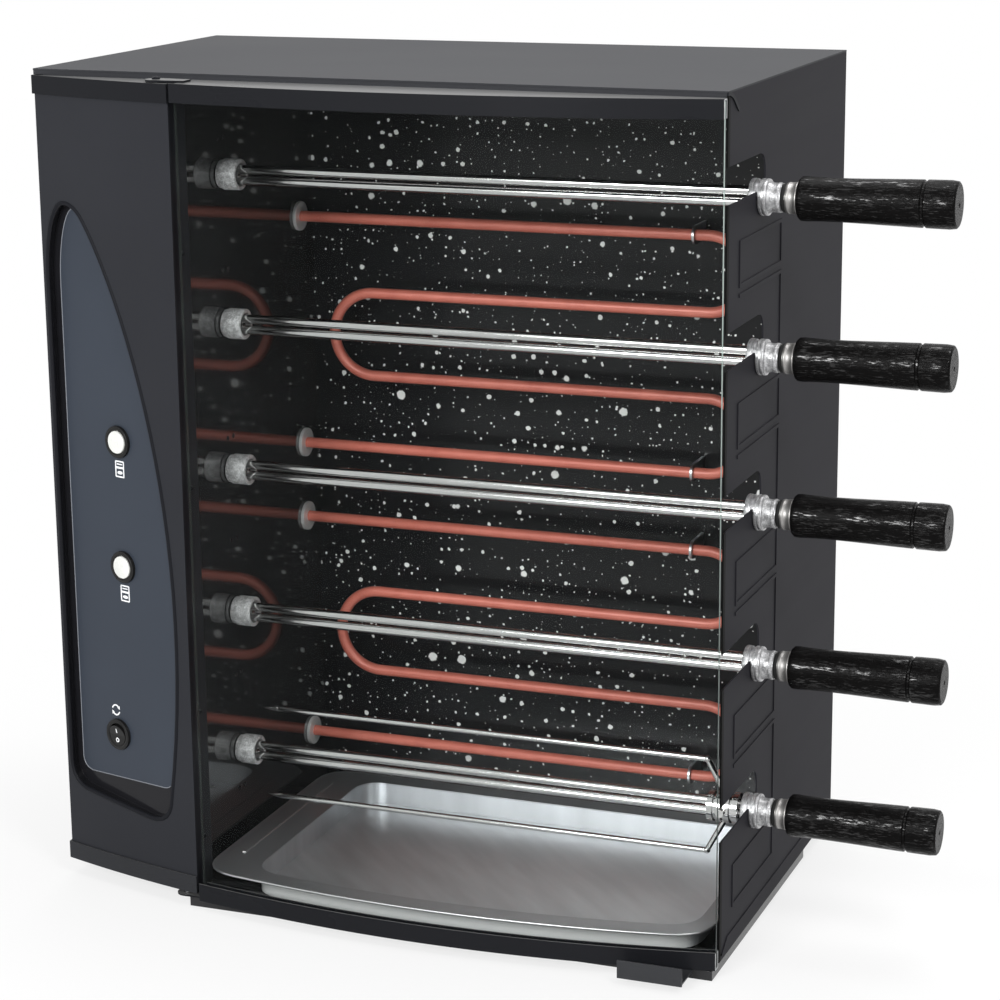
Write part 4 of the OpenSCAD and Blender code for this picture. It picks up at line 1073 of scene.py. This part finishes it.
# %% [markdown]
# ## Edges of the glass and the rails
# From the side, a pane of float glass shows a pale green line, its polished edge. The two upright
# edges are half-round strips that hug the pane. The right one's green tint is real, but its brightness
# is painted light, darker at the bottom and brighter towards the top. The left one lies in the rail's
# shade, which is painted into its dark colour.

# %% Glass edges
GLASS_LOW, GLASS_HIGH, GLASS_T = 9.6, 594.4, 4.0
GLASS_INSET = 1.3
DOOR_LEFT, DOOR_RIGHT = 126.0, 509.5


def edge_strip(name, x, side):
    """A half-round strip along an upright edge of the pane. Side is 1 on the right."""
    y0 = front_y(x, GLASS_INSET) + 0.1
    turns = [math.pi * k / 6 for k in range(7)]
    depth = GLASS_T * (0.30 if side > 0 else 0.5)
    outline = [(side * 0.42 * math.sin(a), y0 + depth * (1 - 0.9 * math.cos(a))) for a in turns]
    bm = bmesh.new()
    lift = Matrix.Translation(at(x - side * 0.3, 0, 0)) @ Matrix.Scale(MM, 4)
    prism(bm, outline, lift, GLASS_LOW, GLASS_HIGH)
    add_piece(name, bm, [glass_edge if side > 0 else shaded_glass_edge], "door", 60)


edge_strip("glass_edge_right", DOOR_RIGHT, 1)
edge_strip("glass_edge_left", DOOR_LEFT, -1)
print("glass edges ready")

# %% [markdown]
# The two door rails are folded from sheet into a channel. Their cut ends carry a painted highlight:
# pale grey plates that stand for the light the ends catch. Each end is three thin plates with broken
# corners, in the shape of the channel, laid on the rail's end.

# %% Rail ends
RAIL_H, RAIL_DEPTH, SHEET = 13.0, 6.6, 1.2
LOW_RAIL_Z, TOP_RAIL_Z = 8.0, 583.0
PLATE_T, BROKEN = 0.28, 0.25


def on_right_wall(x):
    """A matrix that lays (depth, height) outlines on a plane at x and raises them to the right."""
    turn = Matrix.Rotation(math.pi / 2, 4, "Z") @ Matrix.Rotation(math.pi / 2, 4, "X")
    return Matrix.Translation(at(x, 0, 0)) @ turn @ Matrix.Scale(MM, 4)


def broken_plate(y0, y1, z0, z1):
    """A rectangle without its sharp corners."""
    across = ((y0 + BROKEN, z0), (y1 - BROKEN, z0), (y1, z0 + BROKEN), (y1, z1 - BROKEN))
    back = ((y1 - BROKEN, z1), (y0 + BROKEN, z1), (y0, z1 - BROKEN), (y0, z0 + BROKEN))
    return [*across, *back]


rail_front = front_y(DOOR_RIGHT)
rail_lip, rail_back = rail_front + SHEET, rail_front + RAIL_DEPTH
bm = bmesh.new()
for low, lip in ((LOW_RAIL_Z, LOW_RAIL_Z), (TOP_RAIL_Z, TOP_RAIL_Z + RAIL_H - SHEET)):
    z0, z1 = low + 0.3, low + RAIL_H - 0.3
    for plate in (
        (rail_front + 0.1, rail_lip - 0.1, z0, z1),
        (rail_lip - 0.1, rail_back - SHEET, lip + 0.1, lip + SHEET - 0.1),
        (rail_back - SHEET, rail_back - 0.1, z0, z1),
    ):
        prism(bm, broken_plate(*plate), on_right_wall(DOOR_RIGHT - 0.15), 0, PLATE_T)
# The pale grey of these plates is a painted highlight.
add_piece("rail_cut_ends", bm, [rail_end_highlight], "door", 60)
print("rail ends ready")

# %% [markdown]
# ## The roof's folded corner
# The roof's hem turns round the front right corner and ends in a short hook that lies on the wall.
# It is one narrow strip of sheet, drawn flat on the wall's outer face: its upper edge follows a
# curve back and down, and its lower edge is the same curve moved inwards.

# %% Roof corner hook
HOOK = [(6.0, 599.6), (12.3, 599.0), (18.1, 596.8), (22.7, 593.6), (30.9, 587.4)]
lower_edge = [(y - 1.6, z - 2.0) for y, z in HOOK[::-1]]
bm = bmesh.new()
prism(bm, HOOK + lower_edge, on_right_wall(WIDTH - 0.1), 0, 1.0)
add_piece("roof_corner_hook", bm, [rim_paint], "cabinet", 50)
print("roof corner ready")

# %% [markdown]
# On top of the column the upper hinge pin ends in a small rounded head, a flat button turned on a
# lathe.

# %% Hinge knuckle
HINGE_X, HINGE_Y = 108.0, 5.0
KNUCKLE = [(0, 597.4), (2.6, 597.4), (3.0, 598.0), (2.6, 598.8), (1.4, 599.2), (0, 599.3)]
bm = bmesh.new()
lathe(bm, KNUCKLE, Matrix.Translation(at(HINGE_X, HINGE_Y, 0)) @ Matrix.Scale(MM, 4), 24)
add_piece("hinge_knuckle", bm, [rim_paint], "cabinet", 50)
print("hinge knuckle ready")

# %% [markdown]
# ## Collars of the skewers
# Each collar is cast and then roughly turned: a double ring with a groove between, a barrel and a
# grub screw. It hugs the plain collar of the CAD model, a fifth of a millimetre proud. Profiles are
# lists of (radius, distance from the cabinet's left side).

# %% Collars
TOP_SKEWER_Z, SKEWER_PITCH, SKEWER_Y = 523.0, 107.5, 87.0
GRUB_X, GRUB_SEAT = 519.7, 9.6
GROOVED = [(11.9, 510.7), (12.3, 511.1), (12.3, 512.3), (11.2, 512.9), (11.2, 513.3)]
GROOVED += [(12.3, 513.9), (12.3, 515.3), (11.8, 515.9), (10.0, 516.3)]
BARREL = [(9.9, 517.2), (9.7, 517.6), (9.7, 521.8), (10.1, 522.2), (10.1, 523.6)]
BARREL += [(9.6, 524.4), (9.0, 525.1), (8.0, 525.1)]
LEFT_RING = [(10.2, 503.7), (11.9, 503.9), (12.3, 504.4), (12.3, 506.4), (11.5, 506.9)]
LEFT_RING += [(12.1, 507.4), (12.1, 507.9), (11.4, 508.1)]
GRUB = [(2.1, -0.6), (2.1, 0.2), (1.7, 0.45), (1.1, 0.45), (0.9, 0.1), (0, 0.1)]


def skewer_place(i, x=0.0):
    return at(x, SKEWER_Y, TOP_SKEWER_Z - (i - 1) * SKEWER_PITCH)


for i in SKEWERS:
    turned = facing(skewer_place(i), (1, 0, 0))
    bm = bmesh.new()
    lathe(bm, GROOVED + BARREL, turned, 48)
    lathe(bm, LEFT_RING, turned, 48)
    lathe(bm, GRUB, facing(skewer_place(i, GRUB_X) - Vector((0, GRUB_SEAT * MM, 0)), (0, -1, 0)), 20)
    add_piece(f"cast_collar_{i}", bm, [cast_collar], f"spindle_{i}", 40)
print("collars dressed:", len(SKEWERS))

# %% [markdown]
# Between collar and handle come a black washer and a satin ferrule that flares towards the wood.

# %% Washers and ferrules
WASHER = [(6.0, 525.3), (9.2, 525.4), (9.7, 526.0), (9.7, 527.2), (9.2, 527.9), (6.0, 528.0)]
FERRULE = [(9.6, 528.2), (10.2, 528.4), (10.5, 529.2), (10.5, 530.2), (10.3, 530.5)]
FERRULE += [(10.7, 534.5), (11.3, 535.2), (11.3, 535.8), (10.2, 535.95)]
for i in SKEWERS:
    turned = facing(skewer_place(i), (1, 0, 0))
    bm = bmesh.new()
    lathe(bm, WASHER, turned, 40)
    add_piece(f"black_washer_{i}", bm, [black_rubber], f"spindle_{i}", 50)
    bm = bmesh.new()
    lathe(bm, FERRULE, turned, 48)
    add_piece(f"steel_ferrule_{i}", bm, [satin_ferrule], f"spindle_{i}", 40)
print("washers and ferrules dressed:", len(SKEWERS))

# %% [markdown]
# ## Ends of the handles
# A screw holds each handle on its steel pin. It sits deep in the end, with a turned ring round it.

# %% Handle ends
HANDLE_END = 642.0
END_RING = [(2.6, -0.4), (3.4, -0.1), (3.9, 0.02), (4.4, -0.1), (4.6, -0.5)]
END_SCREW = [(0, -4.0), (1.4, -4.0), (1.4, -3.0), (0, -2.7)]
for i in SKEWERS:
    bm = bmesh.new()
    turned = facing(skewer_place(i, HANDLE_END), (1, 0, 0))
    lathe(bm, END_RING, turned, 32)
    lathe(bm, END_SCREW, turned, 16)
    add_piece(f"handle_end_ring_{i}", bm, [satin_black], f"spindle_{i}", 50)
print("handle ends ready")

# %% [markdown]
# ## Rolled edge of the drip tray
# The tray's rim is rolled under, which leaves a round bright edge. Its plan is the front arc, set
# back, with rounded corners.

# %% Tray edge
TRAY_LEFT, TRAY_RIGHT, TRAY_BACK, TRAY_GAP, CORNER_R = 122.5, 500.8, 226.0, 8.5, 26.0
RIM_Z, ROLL_R = 30.0, 0.95


def tray_edge(x):
    return front_y(x, TRAY_GAP)


def tray_outline(x0, x1, y1, r):
    """The rim's plan, from its front left corner to its back left corner."""
    stops = [x0 + r + (x1 - x0 - 2 * r) * k / 16 for k in range(1, 16)]
    front = [(x, tray_edge(x)) for x in stops]
    return (
        quarter((x0, tray_edge(x0) + r), (x0, tray_edge(x0)), (x0 + r, tray_edge(x0 + r)))
        + front
        + quarter((x1 - r, tray_edge(x1 - r)), (x1, tray_edge(x1)), (x1, tray_edge(x1) + r))
        + quarter((x1, y1 - r), (x1, y1), (x1 - r, y1))
        + quarter((x0 + r, y1), (x0, y1), (x0, y1 - r))
    )


rim_plan = dense(tray_outline(TRAY_LEFT, TRAY_RIGHT, TRAY_BACK, CORNER_R), 8.0)
roll = [at(x, y, RIM_Z - 0.75) for x, y in rim_plan]
bm = bmesh.new()
sweep(bm, roll, ROLL_R * MM, sides=10, out=Vector((0, 0, 1)))
add_piece("tray_rolled_edge", bm, [stainless], "tray", 80)
print("tray edge ready, points:", len(roll))

# %% [markdown]
# ## Terminals of the heating tubes
# Inside the column each tube ends in a white bead, a hexagon nut and a threaded pin for the wire.

# %% Terminals
ELEMENT_Y, TERMINAL_X = 215.0, 89.8
RUNS_Z = [top - drop for top in (475.0, 241.0) for drop in (0.0, 175.5)]
CERAMIC_BEAD = [(0, -0.2), (3.8, -0.2), (4.4, 0.8), (4.4, 4.2), (3.8, 5.0), (0, 5.0)]
NUT = [(0, 5.0), (3.6, 5.0), (4.0, 5.4), (4.0, 7.8), (3.6, 8.2), (0, 8.2)]
THREAD = [(1.9 - 0.25 * (n % 2), 8.0 + 0.5 * n) for n in range(13)]
for k, z in enumerate(RUNS_Z):
    turned = facing(at(TERMINAL_X, ELEMENT_Y, z), (-1, 0, 0))
    bm = bmesh.new()
    lathe(bm, CERAMIC_BEAD, turned, 24)
    bead_faces = len(bm.faces)
    lathe(bm, NUT, turned, 6)
    lathe(bm, [(0, 8.0), *THREAD, (0, 14.2)], turned, 16)
    bm.faces.ensure_lookup_table()
    for face in bm.faces[bead_faces:]:
        face.material_index = 1
    add_piece(f"tube_terminal_{k + 1}", bm, [white_print, plated], "cabinet", 40)
print("terminals ready:", len(RUNS_Z))

# %% [markdown]
# ## The studio
# The photograph has a pure white background and a faint shadow. Near the grill the floor is matt
# white paper. Further out it fades into plain white, which only the camera, mirrors and glass
# see, so it sends no extra light onto the grill. The world does the same.

# %% Floor
HALF_FLOOR = 6.0
corners = [(x * HALF_FLOOR, y * HALF_FLOOR, 0) for x, y in ((-1, -1), (1, -1), (1, 1), (-1, 1))]
floor_mesh = bpy.data.meshes.new("studio_floor")
floor_mesh.from_pydata(corners, [], [(0, 1, 2, 3)])
floor = bpy.data.objects.new("studio_floor", floor_mesh)
floor.location.z = -0.0005
bpy.context.scene.collection.objects.link(floor)
paper = Finish("white_studio_paper", Roughness=0.9, Specular_IOR_Level=0.1)
paper_grain = paper.noise(paper.place(), 300.0, 2.0)
paper.feed(Base_Color=paper.mix(paper_grain, (0.88, 0.88, 0.88), (0.92, 0.92, 0.92)))
away = paper.node("ShaderNodeVectorMath", {"operation": "LENGTH"}, {0: paper.place()}, "Value")
plain_white = paper.node("ShaderNodeEmission", {}, {"Color": (1, 1, 1, 1), "Strength": 1.0})
fade = (paper.ramp(away, 0.35, 0.75) * 0.25 + 0.75) * paper.seen_directly()
matt_paper = Wire(paper, paper.shader.outputs[0])
paper.surface(paper.node("ShaderNodeMixShader", {}, {0: fade, 1: matt_paper, 2: plain_white}))
floor_mesh.materials.append(paper.material)
print("floor ready")

# %% [markdown]
# The world is white where the camera, a mirror or glass looks at it, and dimmer as a source of
# light.

# %% World
WORLD_LIGHT = 0.45
world = bpy.data.worlds.new("studio_world")
bpy.context.scene.world = world
world.use_nodes = True
studio = Graph(world.node_tree)
backdrop = studio.tree.nodes["Background"]
backdrop.inputs["Color"].default_value = (1, 1, 1, 1)
strength = studio.seen_directly() * (1 - WORLD_LIGHT) + WORLD_LIGHT
studio.tree.links.new(strength.socket, backdrop.inputs["Strength"])
print("world light:", WORLD_LIGHT)

# %% [markdown]
# Three large soft lamps do the rest. One hangs above. One stands at the front left and reaches into
# the chamber. One stands at the right and lights the handles and the side wall.

# %% Lamps
def soft_lamp(name, place, target, size, watts):
    light = bpy.data.lights.new(name, "AREA")
    light.shape = "RECTANGLE"
    light.size, light.size_y = size
    light.energy = watts
    lamp = bpy.data.objects.new(name, light)
    lamp.location = place
    lamp.rotation_euler = (Vector(target) - Vector(place)).to_track_quat("-Z", "Y").to_euler()
    bpy.context.scene.collection.objects.link(lamp)


soft_lamp("top_softbox", (0.2, 0.5, 2.4), (0, 0, 0.4), (1.8, 1.2), 34)
soft_lamp("front_softbox", (-0.3, -2.4, 1.25), (0, 0, 0.3), (0.9, 0.9), 46)
soft_lamp("handle_softbox", (1.3, -1.2, 1.7), (0.25, 0, 0.3), (0.5, 0.5), 14)
print("studio ready")
